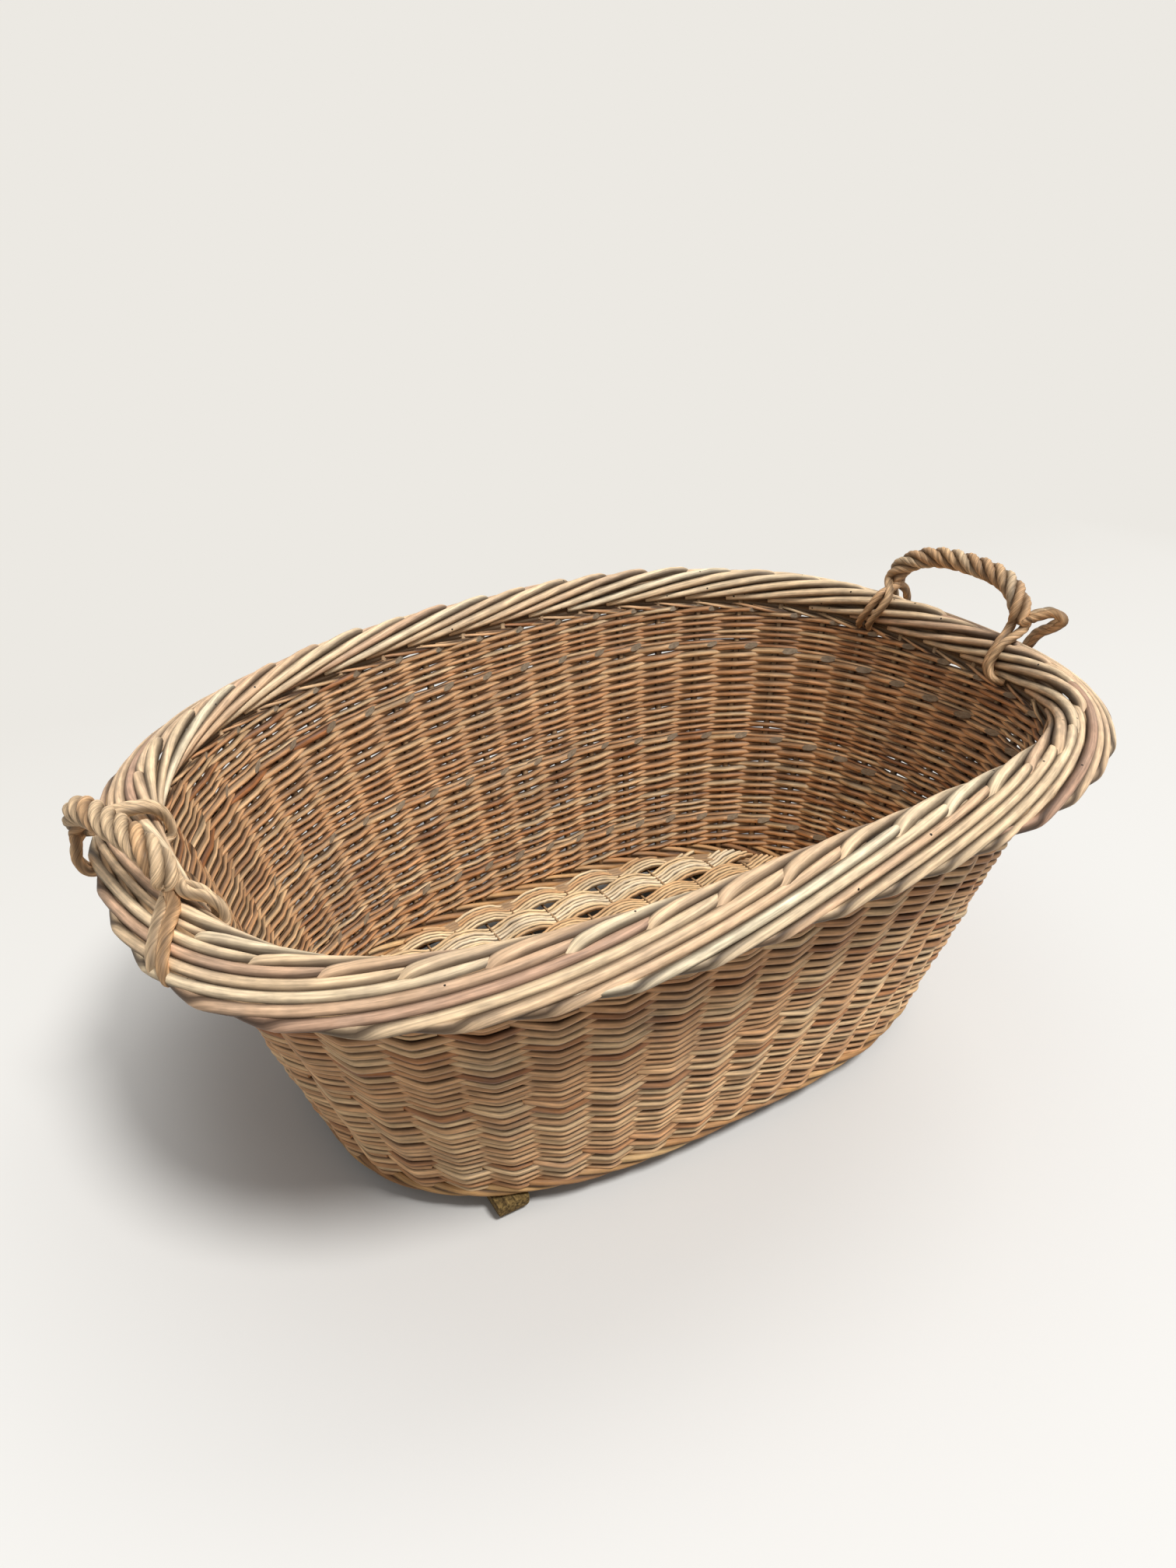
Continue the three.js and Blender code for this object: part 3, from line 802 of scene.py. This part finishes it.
@dataclass
class Border(Wickerwork):
    """The broad border: knees rise inside the rim and cross its crest, and a rod sweeps out and down
    from under each knee to the outer edge.

    The places of `knee_path` are how many stakes the knee has passed, its distance out of the
    middle of the wall and its depth below the crest. A taper gives shares of the rod's radius by
    stakes passed.
    """

    core_finish: bpy.types.Material
    knee_thickness: float = 0.014
    knee_height: float = 0.025
    knee_clearance: float = 0.0003
    knee_rod: float = 0.0082
    knee_end: float = 0.05
    knee_tone: tuple[float, float] = (0.72, 0.16)
    knee_long_steps: tuple[float, int] = (3.6, 25)
    knee_short_steps: tuple[float, int] = (3.7, 13)
    knee_taper: Curve = ((0, 0.8), (2.5, 0.95), (3.7, 1.1), (4.05, 1.08), (4.3, 0.8))
    knee_outward: Curve = ((0, -1.0), (2.4, -0.8), (3.6, 0.1), (4.3, 0.4))
    knee_upward_loss: float = 0.7
    knee_path: tuple[tuple[float, float, float], ...] = (
        (0.0, 0.0, 0.0220), (0.8, -0.0032, 0.0180), (1.8, -0.0035, 0.0105), (2.8, 0.0005, 0.0038),
        (3.3, 0.0040, 0.0020), (3.8, 0.0085, 0.0012), (4.08, 0.0118, 0.0034), (4.3, 0.0140, 0.0125),
    )
    sweep_width: float = 0.038
    sweep_thickness: float = 0.013
    sweep_rod: float = 0.0076
    sweep_tone: tuple[float, float] = (0.52, 0.24)
    sweep_steps: int = 64
    sweep_start: float = -0.5
    sweep_stakes: float = 5.7
    sweep_taper: Curve = ((-0.5, 0.75), (0.3, 1.04), (4.6, 0.96), (5.7, 0.75))
    sweep_per_stake: float = 0.0071
    sweep_shift: float = 0.15
    sweep_tuck: float = 0.0006
    sweep_first: float = 200.0
    sweep_top: float = 165.0
    sweep_last: float = -60.0
    slope_side: float = 50.0
    slope_end: float = 21.0
    girth_spread: float = 0.07
    wobble: float = 0.0005
    core_tone: float = 0.3
    core_inset: float = 0.0065
    slope_core_radius: float = 0.0034
    slope_core: tuple[float, ...] = (-0.010, -0.004, 0.002, 0.008)
    upright_core_radius: float = 0.0042
    upright_core_out: float = 0.0015
    upright_core: tuple[float, ...] = (-0.002, 0.004, 0.010, 0.016)

    @property
    def crest(self) -> float:
        """Height of the border's top above the wall's top."""
        return self.knee_clearance + self.knee_height

    def build(self) -> None:
        """Builds the knees and the swept rods over a core of hidden rods."""
        for mesh, name, nodes in (
            (self._knees(), "border_knees_rods", ("border_knees",)),
            (self._sweeps(), "border_sweep_rods", ("border_sweep",)),
            (self._core(), "border_core", ()),
        ):
            finish = self.finish if nodes else self.core_finish
            seat(mesh.build(name, finish), "border", *nodes)

    def _slope(self, stake: np.ndarray) -> np.ndarray:
        """Angle at which the border leans down outward, which is less toward the ends."""
        end_share = self.wall.shares(stake)[..., 0] ** 2
        return np.radians(self.slope_side + (self.slope_end - self.slope_side) * end_share)

    def _section(
        self, stake: np.ndarray, angle: np.ndarray | float, inset: float
    ) -> tuple[np.ndarray, np.ndarray]:
        """Finds points of the leaning oval that the swept rods lie in.

        Args:
            stake: Places round the wall.
            angle: Turn round the oval, from 0 at the outer end over the top to pi at the inner end.
            inset: Distance inside the surface.

        Returns:
            Distances out from and above the middle of the wall's top.
        """
        slope = self._slope(stake)
        half_width, half_thickness = self.sweep_width / 2, self.sweep_thickness / 2
        reach_out = np.hypot(half_width * np.cos(slope), half_thickness * np.sin(slope))
        reach_up = np.hypot(half_width * np.sin(slope), half_thickness * np.cos(slope))
        along = (half_width - inset) * np.cos(angle)
        above = (half_thickness - inset) * np.sin(angle)
        inner = self.knee_thickness / 2 - self.sweep_tuck
        out = inner + reach_out + along * np.cos(slope) + above * np.sin(slope)
        return out, self.crest - reach_up - along * np.sin(slope) + above * np.cos(slope)

    def _section_facing(self, stake: np.ndarray, angle: np.ndarray) -> np.ndarray:
        """Finds directions square to the surface of the leaning oval.

        Args:
            stake: Places round the wall.
            angle: Turn round the oval.

        Returns:
            Directions, with a last axis of 3.
        """
        slope = self._slope(stake)
        along, above = np.cos(angle) / self.sweep_width, np.sin(angle) / self.sweep_thickness
        length = np.hypot(along, above)
        out = (along * np.cos(slope) + above * np.sin(slope)) / length
        return self.wall.facing(stake, out, (above * np.cos(slope) - along * np.sin(slope)) / length)

    def _knees(self) -> RodMesh:
        """Sweeps the rods that climb the inside of the rim and dive over its crest.

        Returns:
            Mesh of the knees.
        """
        rods = self.wall.stakes
        marks, outs, drops = np.array(self.knee_path).T
        passed = marks[-1]
        (bend, long_steps), (dive, short_steps) = self.knee_long_steps, self.knee_short_steps
        step = np.concatenate([np.linspace(0, bend, long_steps), np.linspace(dive, passed, short_steps)])
        out = smooth_curve(step, marks, outs)
        above = self.crest - smooth_curve(step, marks, drops)
        stake = np.arange(rods)[:, None] + self.knee_end + passed - step
        wander = self.uneven(self.wobble, rods, 1)
        girth = 1 + self.uneven(self.girth_spread, rods, 1)
        taper = np.interp(step, *np.array(self.knee_taper).T)
        outward = np.interp(step, *np.array(self.knee_outward).T)
        facing = self.wall.facing(stake, outward, 1 - np.abs(outward) * self.knee_upward_loss)
        mesh = RodMesh(sides=12)
        mesh.add(
            self.wall.rim_points(stake, out + wander, above + wander), self.knee_rod / 2 * girth * taper,
            facing, self.tints(rods, self.knee_tone),
        )
        return mesh

    def _sweeps(self) -> RodMesh:
        """Sweeps the rods that run from under the knees to the outer edge, at an even pace.

        Returns:
            Mesh of the swept rods.
        """
        rods = self.wall.stakes
        radius = self.sweep_rod / 2
        step = np.linspace(self.sweep_start, self.sweep_stakes, self.sweep_steps)
        degrees = int(self.sweep_first - self.sweep_last)
        turns = np.radians(np.linspace(self.sweep_first, self.sweep_last, degrees + 1))
        half_width, half_thickness = self.sweep_width / 2 - radius, self.sweep_thickness / 2 - radius
        pace = np.hypot(half_width * np.sin(turns), half_thickness * np.cos(turns))
        length = np.cumsum(pace) * abs(turns[1] - turns[0])
        length -= np.interp(-math.radians(self.sweep_top), -turns, length)
        angle = np.interp(step * self.sweep_per_stake, length, turns)
        stake = np.arange(rods)[:, None] - step + self.knee_end + self.sweep_shift
        out, above = self._section(stake, angle, radius)
        wander = self.uneven(self.wobble, rods, 1)
        girth = 1 + self.uneven(self.girth_spread, rods, 1)
        taper = np.interp(step, *np.array(self.sweep_taper).T)
        mesh = RodMesh(sides=12)
        mesh.add(
            self.wall.rim_points(stake, out + wander, above + wander), radius * girth * taper,
            self._section_facing(stake, angle), self.tints(rods, self.sweep_tone),
        )
        return mesh

    def _core(self) -> RodMesh:
        """Sweeps the hidden rods that fill the border, which run once round it.

        Returns:
            Mesh of the hidden rods.
        """
        mesh = RodMesh(sides=8)
        stake = self.wall.once_round()
        middle_out, middle_up = self._section(stake, np.pi / 2, self.core_inset)
        edge_out, edge_up = self._section(stake, 0.0, 0.0)
        for shift in self.slope_core:
            share = shift / (self.sweep_width / 2)
            out = middle_out + (edge_out - middle_out) * share
            above = middle_up + (edge_up - middle_up) * share
            path = self.wall.rim_points(stake, out, above)
            mesh.add(path, self.slope_core_radius, UP, self.core_tone)
        for above in self.upright_core:
            path = self.wall.rim_points(stake, self.upright_core_out, above)
            mesh.add(path, self.upright_core_radius, UP, self.core_tone)
        return mesh


@dataclass
class Floor(Wickerwork):
    """Woven floor: bundles of fine rods hump over and under sticks that lie across the basket.

    A second layer lies under the first, and rim rods close the floor against the wall.
    """

    stick_finish: bpy.types.Material
    rod: float = 0.0040
    bundle_width: float = 0.034
    bundles: int = 10
    rods_per_bundle: int = 8
    stick: float = 0.0026
    stick_pitch: float = 0.030
    middle: float = 0.022
    hump: float = 0.0078
    layer_drop: float = 0.0026
    crest_breadth: float = 0.3
    margin: float = 0.006
    rim_rod: float = 0.0062
    rim_insets: tuple[float, ...] = (0.0078, 0.0122, 0.0166)
    rim_drop: float = 0.0032
    steps_per_stick: int = 8
    wobble: float = 0.0003
    girth_spread: float = 0.08
    tone: tuple[float, float] = (0.55, 0.25)
    stick_steps: int = 9
    stick_tones: tuple[float, float] = (0.2, 0.7)
    rim_tone: float = 0.4

    def build(self) -> None:
        """Builds the floor's rods in two layers, and its sticks with the rim rods."""
        length, width = self.wall.base_length, self.wall.base_width
        rods, rods_below, sticks = RodMesh(sides=8), RodMesh(sides=6), RodMesh(sides=10)
        pitch = self.bundle_width / self.rods_per_bundle
        count = self.bundles * self.rods_per_bundle
        for number in range(count):
            across = (number - (count - 1) / 2) * pitch
            reach = self._reach(across, width, length)
            if reach < 2 * self.stick_pitch:
                continue
            bundle = number // self.rods_per_bundle
            self._add_rod(rods, across, reach, bundle, 0.0)
            self._add_rod(rods_below, across + pitch / 2, reach, bundle, self.layer_drop)
        sticks_aside = int((length / 2 - self.margin) / self.stick_pitch)
        for number in range(-sticks_aside, sticks_aside + 1):
            along = number * self.stick_pitch
            reach = self._reach(along, length, width)
            height = self.middle - self.layer_drop
            path = np.linspace((along, -reach, height), (along, reach, height), self.stick_steps)
            sticks.add(path, self.stick / 2, UP, self.chance.uniform(*self.stick_tones))
        stake = self.wall.once_round()
        for inset in self.rim_insets:
            ring = self.wall.points(stake, self.middle - self.rim_drop, -inset)
            sticks.add(ring, self.rim_rod / 2, UP, self.rim_tone)
        seat(rods.build("floor_rods", self.finish), "floor", "floor_weave")
        seat(rods_below.build("floor_rods_below", self.finish), "floor")
        seat(sticks.build("floor_sticks", self.stick_finish), "floor")

    def _reach(self, offset: float, across: float, along: float) -> float:
        """Finds how far the floor's oval reaches one way at an offset the other way.

        Args:
            offset: Distance from the middle.
            across: Size of the wall's bottom the way of the offset.
            along: Size of the wall's bottom the way of the reach.

        Returns:
            Distance from the middle to the floor's edge.
        """
        power = self.wall.oval_power
        share = min(1.0, abs(offset) / (across / 2 - self.margin))
        return (along / 2 - self.margin) * (1 - share ** power) ** (1 / power)

    def _add_rod(self, mesh: RodMesh, across: float, reach: float, bundle: int, drop: float) -> None:
        """Adds one fine rod.

        Args:
            mesh: Mesh that gets the rod.
            across: Place of the rod across the floor.
            reach: Half of its length.
            bundle: Number of its bundle, which sets whether it starts over or under a stick.
            drop: How far it lies below the top layer.
        """
        count = int(2 * reach / self.stick_pitch * self.steps_per_stick) + 2
        along = np.linspace(-reach, reach, count)
        phase = np.pi * (along / self.stick_pitch + bundle + 1)
        wave = np.cos(phase) + self.crest_breadth * np.sin(phase) ** 2
        height = self.middle - drop + self.hump / 2 * wave + self.uneven(self.wobble)
        path = np.stack([along, across + self.uneven(self.wobble, count), height], axis=1)
        radius = self.rod / 2 * (1 + self.uneven(self.girth_spread))
        mesh.add(path, radius, UP, self.tints(1, self.tone))


class Side(Enum):
    """End of the basket that a handle or a runner sits at."""

    RIGHT = "right"
    LEFT = "left"


Way = tuple[tuple[float, float, float], ...]


@dataclass(frozen=True)
class Foot:
    """Foot of a handle: where the rope ends, and the ways its strands take from there.

    Each way is a row of places, and each place is its stake, its distance out of the middle of the
    wall and its height above the wall's top. Strands go along each way in pairs.
    """

    rope_end: tuple[float, float, float]
    inside: Way
    outside: Way
    pair_spread: float = 0.13


@dataclass(frozen=True)
class Bow:
    """Shape of a handle: its rise, its lean out of the upright, its fullness and its two feet."""

    rise: float
    lean: float
    fullness: float
    first: Foot
    last: Foot


BOWS = {
    Side.RIGHT: Bow(
        rise=0.039, lean=28.0, fullness=0.75,
        first=Foot(
            (-1.6, 0.016, 0.033),
            ((-1.66, -0.005, 0.022), (-1.67, -0.012, 0.009), (-1.82, -0.012, 0.002), (-1.98, -0.005, 0.000)),
            ((-1.80, 0.024, 0.047), (-2.02, 0.033, 0.051), (-2.12, 0.036, 0.048), (-1.98, 0.035, 0.041),
             (-1.66, 0.034, 0.031), (-1.50, 0.031, 0.018)),
            pair_spread=0.05,
        ),
        last=Foot(
            (1.7, 0.022, 0.033),
            ((1.53, -0.006, 0.026), (1.67, -0.012, 0.014), (1.84, -0.012, 0.004), (1.95, -0.003, -0.003)),
            ((1.75, 0.036, 0.028), (1.80, 0.045, 0.017), (1.83, 0.046, 0.006), (1.87, 0.038, -0.003),
             (1.90, 0.022, -0.008)),
        ),
    ),
    Side.LEFT: Bow(
        rise=0.030, lean=8.0, fullness=0.7,
        first=Foot(
            (21.9, 0.042, 0.030),
            ((21.92, 0.016, 0.042), (21.86, -0.003, 0.034), (21.80, -0.009, 0.022), (21.84, -0.011, 0.008),
             (21.92, -0.003, 0.000)),
            ((22.05, 0.046, 0.031), (22.12, 0.048, 0.021), (22.20, 0.044, 0.012), (22.25, 0.030, 0.008)),
            pair_spread=0.06,
        ),
        last=Foot(
            (24.3, 0.010, 0.036),
            ((24.50, 0.004, 0.038), (24.72, -0.004, 0.034), (24.90, -0.008, 0.025), (24.96, -0.007, 0.017),
             (24.96, 0.002, 0.011)),
            ((24.42, 0.0115, 0.0320), (24.76, 0.0225, 0.0292), (25.00, 0.0315, 0.0245),
             (25.14, 0.0370, 0.0190), (25.19, 0.0375, 0.0110), (25.21, 0.0260, 0.0050)),
        ),
    ),
}


@dataclass
class RopeHandle(Wickerwork):
    """A rope of four twisted willow strands over the end of the basket, whose strands part at each
    foot: two go down outside over the border, and two go down inside to the wall."""

    side: Side
    thickness: float = 0.0195
    strand: float = 0.0084
    strands: int = 4
    strand_pitch: float = 0.016
    strand_points: int = 220
    tip_share: float = 0.72
    thinning: int = 46
    twist: float = -150.0
    grooves: int = 4
    tones: tuple[float, float] = (0.25, 0.85)
    bow_points: int = 120
    parting: int = 6

    def build(self) -> None:
        """Builds the handle."""
        mesh = RodMesh(sides=20)
        shape = BOWS[self.side]
        stake = (shape.first.rope_end[0] + shape.last.rope_end[0]) / 2
        away = self.wall.outward(np.array([stake]))[0]
        bow = self._bow(shape, away)
        ahead = unit(np.gradient(bow, axis=0))
        side = square_to(ahead, away)
        other = np.cross(ahead, side)
        turns = walked(bow) / (self.strand_pitch * self.strands)
        offset = (self.thickness - self.strand) / 2
        twisted = slice(self.parting, -self.parting)
        thinned = np.interp(
            np.arange(self.strand_points),
            [0, self.thinning - 1, self.strand_points - self.thinning, self.strand_points - 1],
            [self.tip_share, 1, 1, self.tip_share],
        )
        for number in range(self.strands):
            turn = 2 * np.pi * (turns + number / self.strands)
            apart = np.cos(turn)[:, None] * side + np.sin(turn)[:, None] * other
            first, last = self._foot(shape.first, number), self._foot(shape.last, number)
            shown = away if number % 2 == 0 else UP - away
            path = np.concatenate([first[::-1], (bow + offset * apart)[twisted], last])
            facing = np.concatenate([
                np.tile(shown, (len(first), 1)), apart[twisted], np.tile(shown, (len(last), 1))
            ])
            path, facing = np.hsplit(even_path(np.hstack([path, facing]), self.strand_points), 2)
            mesh.add(
                path, self.strand / 2 * thinned, facing, self.chance.uniform(*self.tones),
                twist=self.twist, grooves=self.grooves,
            )
        node = f"handle_{self.side.value}"
        seat(mesh.build(f"{node}_rope", self.finish), "rope", node)

    def _bow(self, shape: Bow, away: np.ndarray) -> np.ndarray:
        """Finds the middle line of the rope between its feet.

        Args:
            shape: Shape of the handle.
            away: Level direction out of the basket at the middle of the handle.

        Returns:
            Points from the first foot to the last.
        """
        stake, out, above = np.array([shape.first.rope_end, shape.last.rope_end]).T
        ends = self.wall.rim_points(stake, out, above)
        angle = np.linspace(0, np.pi, self.bow_points)
        sine = np.maximum(np.sin(angle), 0)
        across = -np.sign(np.cos(angle)) * np.abs(np.cos(angle)) ** shape.fullness
        lean = math.radians(shape.lean)
        push = shape.rise * math.sin(lean) * sine ** 2
        points = ends.mean(axis=0) + across[:, None] * (ends[1] - ends[0]) / 2 + push[:, None] * away
        points[:, 2] += shape.rise * math.cos(lean) * sine ** shape.fullness
        return points

    def _foot(self, foot: Foot, number: int) -> np.ndarray:
        """Finds the run of one strand below the rope.

        Args:
            foot: The foot that it goes down at.
            number: Number of the strand; even ones go outside and odd ones inside.

        Returns:
            Points from the rope down to the strand's end in the wall.
        """
        stake, out, above = np.array(foot.outside if number % 2 == 0 else foot.inside).T
        apart = foot.pair_spread if number < self.strands / 2 else -foot.pair_spread
        return self.wall.rim_points(stake + apart, out, above)


@dataclass
class Runner:
    """A board across the underside, its lower corners rounded off at both ends."""

    side: Side
    finish: bpy.types.Material
    round_off: float = 0.009
    round_segments: int = 6
    soft_edge: float = 0.0008
    soft_segments: int = 2
    level_within: float = 1e-4
    bevel_from: float = 50.0
    smooth_below: float = 40.0

    def build(self) -> None:
        """Builds the board in the place of its CAD node."""
        node = f"runner_{self.side.value}"
        low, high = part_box(node)
        bpy.ops.mesh.primitive_cube_add(size=1, location=(low + high) / 2)
        board = bpy.context.object
        board.name = f"{node}_board"
        board.scale = high - low
        bpy.ops.object.transform_apply(location=True, rotation=True, scale=True)
        bpy.ops.object.mode_set(mode="EDIT")
        bpy.ops.mesh.select_all(action="DESELECT")
        bpy.ops.object.mode_set(mode="OBJECT")
        for edge in board.data.edges:
            ends = [board.data.vertices[i].co for i in edge.vertices]
            at_bottom = all(abs(end.z - low.z) < self.level_within for end in ends)
            edge.select = at_bottom and abs(ends[0].y - ends[1].y) < self.level_within
        bpy.ops.object.mode_set(mode="EDIT")
        bpy.ops.mesh.select_mode(type="EDGE")
        bpy.ops.mesh.bevel(offset=self.round_off, segments=self.round_segments, affect="EDGES")
        bpy.ops.object.mode_set(mode="OBJECT")
        bevel = board.modifiers.new("soft edges", "BEVEL")
        bevel.width = self.soft_edge
        bevel.segments = self.soft_segments
        bevel.limit_method = "ANGLE"
        bevel.angle_limit = math.radians(self.bevel_from)
        bpy.ops.object.modifier_apply(modifier=bevel.name)
        bpy.ops.object.shade_smooth_by_angle(angle=math.radians(self.smooth_below))
        board.data.materials.append(self.finish)
        board.select_set(False)
        seat(board, "runner", node)


@dataclass(frozen=True)
class Lamp:
    """A broad soft light from far off, by the side it comes from, its strength and its breadth in
    degrees."""

    name: str
    side: tuple[float, float, float]
    strength: float
    breadth: float

    def build(self) -> None:
        """Hangs the lamp above the basket so that it shines from its side."""
        light = bpy.data.lights.new(self.name, "SUN")
        light.energy = self.strength
        light.angle = math.radians(self.breadth)
        lamp = placed(self.name, light)
        lamp.location = self.side
        lamp.rotation_euler = (-Vector(self.side)).to_track_quat("-Z", "Y").to_euler()


@dataclass
class Studio:
    """Pale floor and backdrop, soft lamps and the camera of the picture.

    The floor takes the basket's shadow near the basket and is plain from there on, pale in front
    and as dark as the backdrop behind and at its rim.
    """

    picture_height: int = 2016
    focal_pixels: float = 1393.8
    camera_place: tuple[float, float, float] = (-0.3952, -0.6297, 0.6168)
    azimuth: float = 0.526
    elevation: float = 0.493
    roll: float = -0.014
    sensor: float = 36.0
    clip_start: float = 0.01
    floor_radius: float = 2.6
    floor_corners: int = 96
    shadow_reach: tuple[float, float] = (0.30, 0.64)
    front_to_back: tuple[float, float] = (-0.6, 0.9)
    rim_reach: tuple[float, float] = (0.9, 1.9)
    near_tone: str = "#fdfbf7"
    far_tone: str = "#ece9e3"
    bounce_tone: str = "#a8a198"
    sky_tone: str = "#fcfcfd"
    floor_share: float = 0.80
    sky_strength: float = 0.39
    lamps: tuple[Lamp, ...] = (
        Lamp("front light", (0.30, -0.90, 1.65), 2.68, 14.0),
        Lamp("side light", (1.3, 0.3, 1.8), 0.50, 26.0),
    )

    def build(self) -> None:
        """Builds the floor, the backdrop, the lamps and the camera."""
        bpy.context.scene.view_settings.view_transform = "Standard"
        self._lay_floor()
        self._set_sky()
        for lamp in self.lamps:
            lamp.build()
        self._place_camera()

    def _place_camera(self) -> None:
        """Places the camera at the viewing angle of the picture."""
        data = bpy.data.cameras.new("picture camera")
        data.sensor_fit = "VERTICAL"
        data.sensor_height = self.sensor
        data.lens = self.sensor * self.focal_pixels / self.picture_height
        data.clip_start = self.clip_start
        level = Vector((math.cos(self.azimuth), -math.sin(self.azimuth), 0.0))
        forward = Vector((math.sin(self.azimuth), math.cos(self.azimuth), 0.0))
        ahead = forward * math.cos(self.elevation) - Vector(UP) * math.sin(self.elevation)
        above = level.cross(ahead)
        right = level * math.cos(self.roll) + above * math.sin(self.roll)
        up = above * math.cos(self.roll) - level * math.sin(self.roll)
        camera = placed("picture camera", data)
        turn = Matrix((right, up, -ahead)).transposed().to_4x4()
        camera.matrix_world = Matrix.Translation(Vector(self.camera_place)) @ turn
        bpy.context.scene.camera = camera

    def _seen(self, tree: bpy.types.NodeTree) -> bpy.types.NodeSocket:
        """Tells rays that reach the camera, straight or by a shine or a clear piece, from the rest.

        Args:
            tree: Node tree of the floor or the sky.

        Returns:
            A socket that is 1 for such rays and 0 for others.
        """
        straight = add_node(tree, "LightPath", {}, "Is Camera Ray")
        rays = straight.node.outputs
        shone = add_node(tree, "Math", {
            "operation": "MAXIMUM", 0: rays["Is Glossy Ray"], 1: rays["Is Transmission Ray"],
        })
        return add_node(tree, "Math", {"operation": "MAXIMUM", 0: straight, 1: shone})

    def _lay_floor(self) -> None:
        """Lays a round floor that keeps the basket's shadow and fades into the backdrop."""
        bpy.ops.mesh.primitive_circle_add(
            vertices=self.floor_corners, radius=self.floor_radius, fill_type="NGON"
        )
        floor = bpy.context.object
        floor.name = "studio_floor"
        floor.select_set(False)
        material = bpy.data.materials.new("pale studio floor")
        tree = empty_tree(material)
        place = add_node(tree, "TexCoord", {}, "Object")
        distance = add_node(tree, "VectorMath", {"operation": "LENGTH", 0: place}, "Value")
        depth = add_node(tree, "SeparateXYZ", {"Vector": place}, "Y")
        fade, back, rim = (
            add_node(tree, "MapRange", {
                "From Min": low, "From Max": high, "interpolation_type": kind, "Value": value,
            })
            for (low, high), kind, value in (
                (self.shadow_reach, "SMOOTHSTEP", distance),
                (self.front_to_back, "LINEAR", depth),
                (self.rim_reach, "LINEAR", distance),
            )
        )
        seen = self._seen(tree)
        plain = add_node(tree, "Math", {"operation": "MULTIPLY", 0: fade, 1: seen})
        tone = add_node(tree, "Math", {"operation": "MAXIMUM", 0: back, 1: rim})
        colour = add_node(tree, "Mix", {
            "data_type": "RGBA", 0: tone, 6: linear(self.near_tone), 7: linear(self.far_tone),
        }, 2)
        thrown = add_node(tree, "Mix", {
            "data_type": "RGBA", 0: seen, 6: linear(self.bounce_tone), 7: colour,
        }, 2)
        dimmed = add_node(tree, "HueSaturation", {"Value": self.floor_share, "Color": thrown})
        lit = add_node(tree, "BsdfDiffuse", {"Color": dimmed})
        flat = add_node(tree, "Emission", {"Color": colour})
        surface = add_node(tree, "MixShader", {0: plain, 1: lit, 2: flat})
        add_node(tree, "OutputMaterial", {"Surface": surface})
        floor.data.materials.append(material)

    def _set_sky(self) -> None:
        """Sets a soft even sky, which the camera sees as the plain backdrop."""
        world = bpy.data.worlds.new("studio")
        bpy.context.scene.world = world
        tree = empty_tree(world)
        sky = add_node(tree, "Background", {
            "Color": linear(self.sky_tone), "Strength": self.sky_strength,
        })
        backdrop = add_node(tree, "Background", {"Color": linear(self.far_tone)})
        surface = add_node(tree, "MixShader", {0: self._seen(tree), 1: sky, 2: backdrop})
        add_node(tree, "OutputWorld", {"Surface": surface})


# The weave has aged brown, and painted shade makes it dark between its rods.
WEAVE = Willow(
    "aged willow weave", ("#b67a4e", "#dca372", "#f4c18e", "#fed5a2", "#ffe6bd"),
    crease_start=0.34, painted_shade_share=0.96, streak_low=0.55, roughness=0.48,
)
# Cut ends show short grey pores instead of long streaks, and only a little painted shade.
CUT_END = Willow("cut willow end", ("#9c8b75", "#b5a58e"), painted_shade_share=0.2, streak_length=0.002)
EDGE = Willow("aged willow edge", ("#9d6f47", "#bd8c5c", "#d5a871", "#e6c08a"))
STAKE = Willow("weathered willow stake", ("#9c7c5a", "#b8966f", "#cfb08b"))
# The border is paler than the weave, greyed by sun and hands, with worm holes drawn as dots of painted
# shade.
BORDER = Willow(
    "buff willow border", ("#b18a72", "#d8b092", "#f0caa2", "#fbdcb2", "#ffecc8"),
    grey="#b39c88", grey_share=0.5, crease_start=0.37, hole_share=0.7, streak_low=0.62,
)
STRAW = Willow("straw willow floor", ("#d8a776", "#efc590", "#fadaa9", "#ffeac6"))
# Twisting opens the fibres of the rope's strands, so their streaks are longer and finer; painted shade
# darkens their grooves.
ROPE = Willow(
    "twisted willow rope", ("#d3a274", "#f2c593", "#ffe2b9"),
    streak_length=0.045, streak_width=0.0011, streak_low=0.45, painted_shade_share=0.65,
)
BOARD = OldBoard()


def corners(box: tuple[Vector, Vector]) -> list[list[float]]:
    """Lowest and highest corner of a box as plain lists."""
    return [[float(value) for value in corner] for corner in box]


def main() -> None:
    """Builds the basket from the ground up, then its studio."""
    logging.basicConfig(level=logging.INFO, format="%(message)s")
    bpy.ops.object.select_all(action="DESELECT")
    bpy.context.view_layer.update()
    wall = Wall()
    weave, cut_end, edge, stake, border, straw, rope, board = (
        finish.build() for finish in (WEAVE, CUT_END, EDGE, STAKE, BORDER, STRAW, ROPE, BOARD)
    )
    edge_middle = wall.edge_bottom + wall.edge_height / 2
    wale_depth = 0.0035
    for work in (
        Runner(Side.LEFT, board),
        Runner(Side.RIGHT, board),
        RoundEdge(
            wall, edge, SEED + 40, "bottom_edge", "edge", edge_middle,
            half_width=0.0075, half_height=0.0070, rod=0.0058, strands=5,
        ),
        Floor(wall, straw, SEED + 30, stake),
        Stakes(wall, stake, SEED + 10),
        SideWeave(wall, weave, SEED, cut_end),
        RoundEdge(
            wall, weave, SEED + 50, "top_wale", "weave", wall.top - wale_depth,
            half_width=0.0070, half_height=0.0038, rod=0.0036, strands=3,
        ),
        Border(wall, border, SEED + 20, stake),
        RopeHandle(wall, rope, SEED + 60, Side.RIGHT),
        RopeHandle(wall, rope, SEED + 70, Side.LEFT),
        Studio(),
    ):
        work.build()


if __name__ == "__main__":
    main()
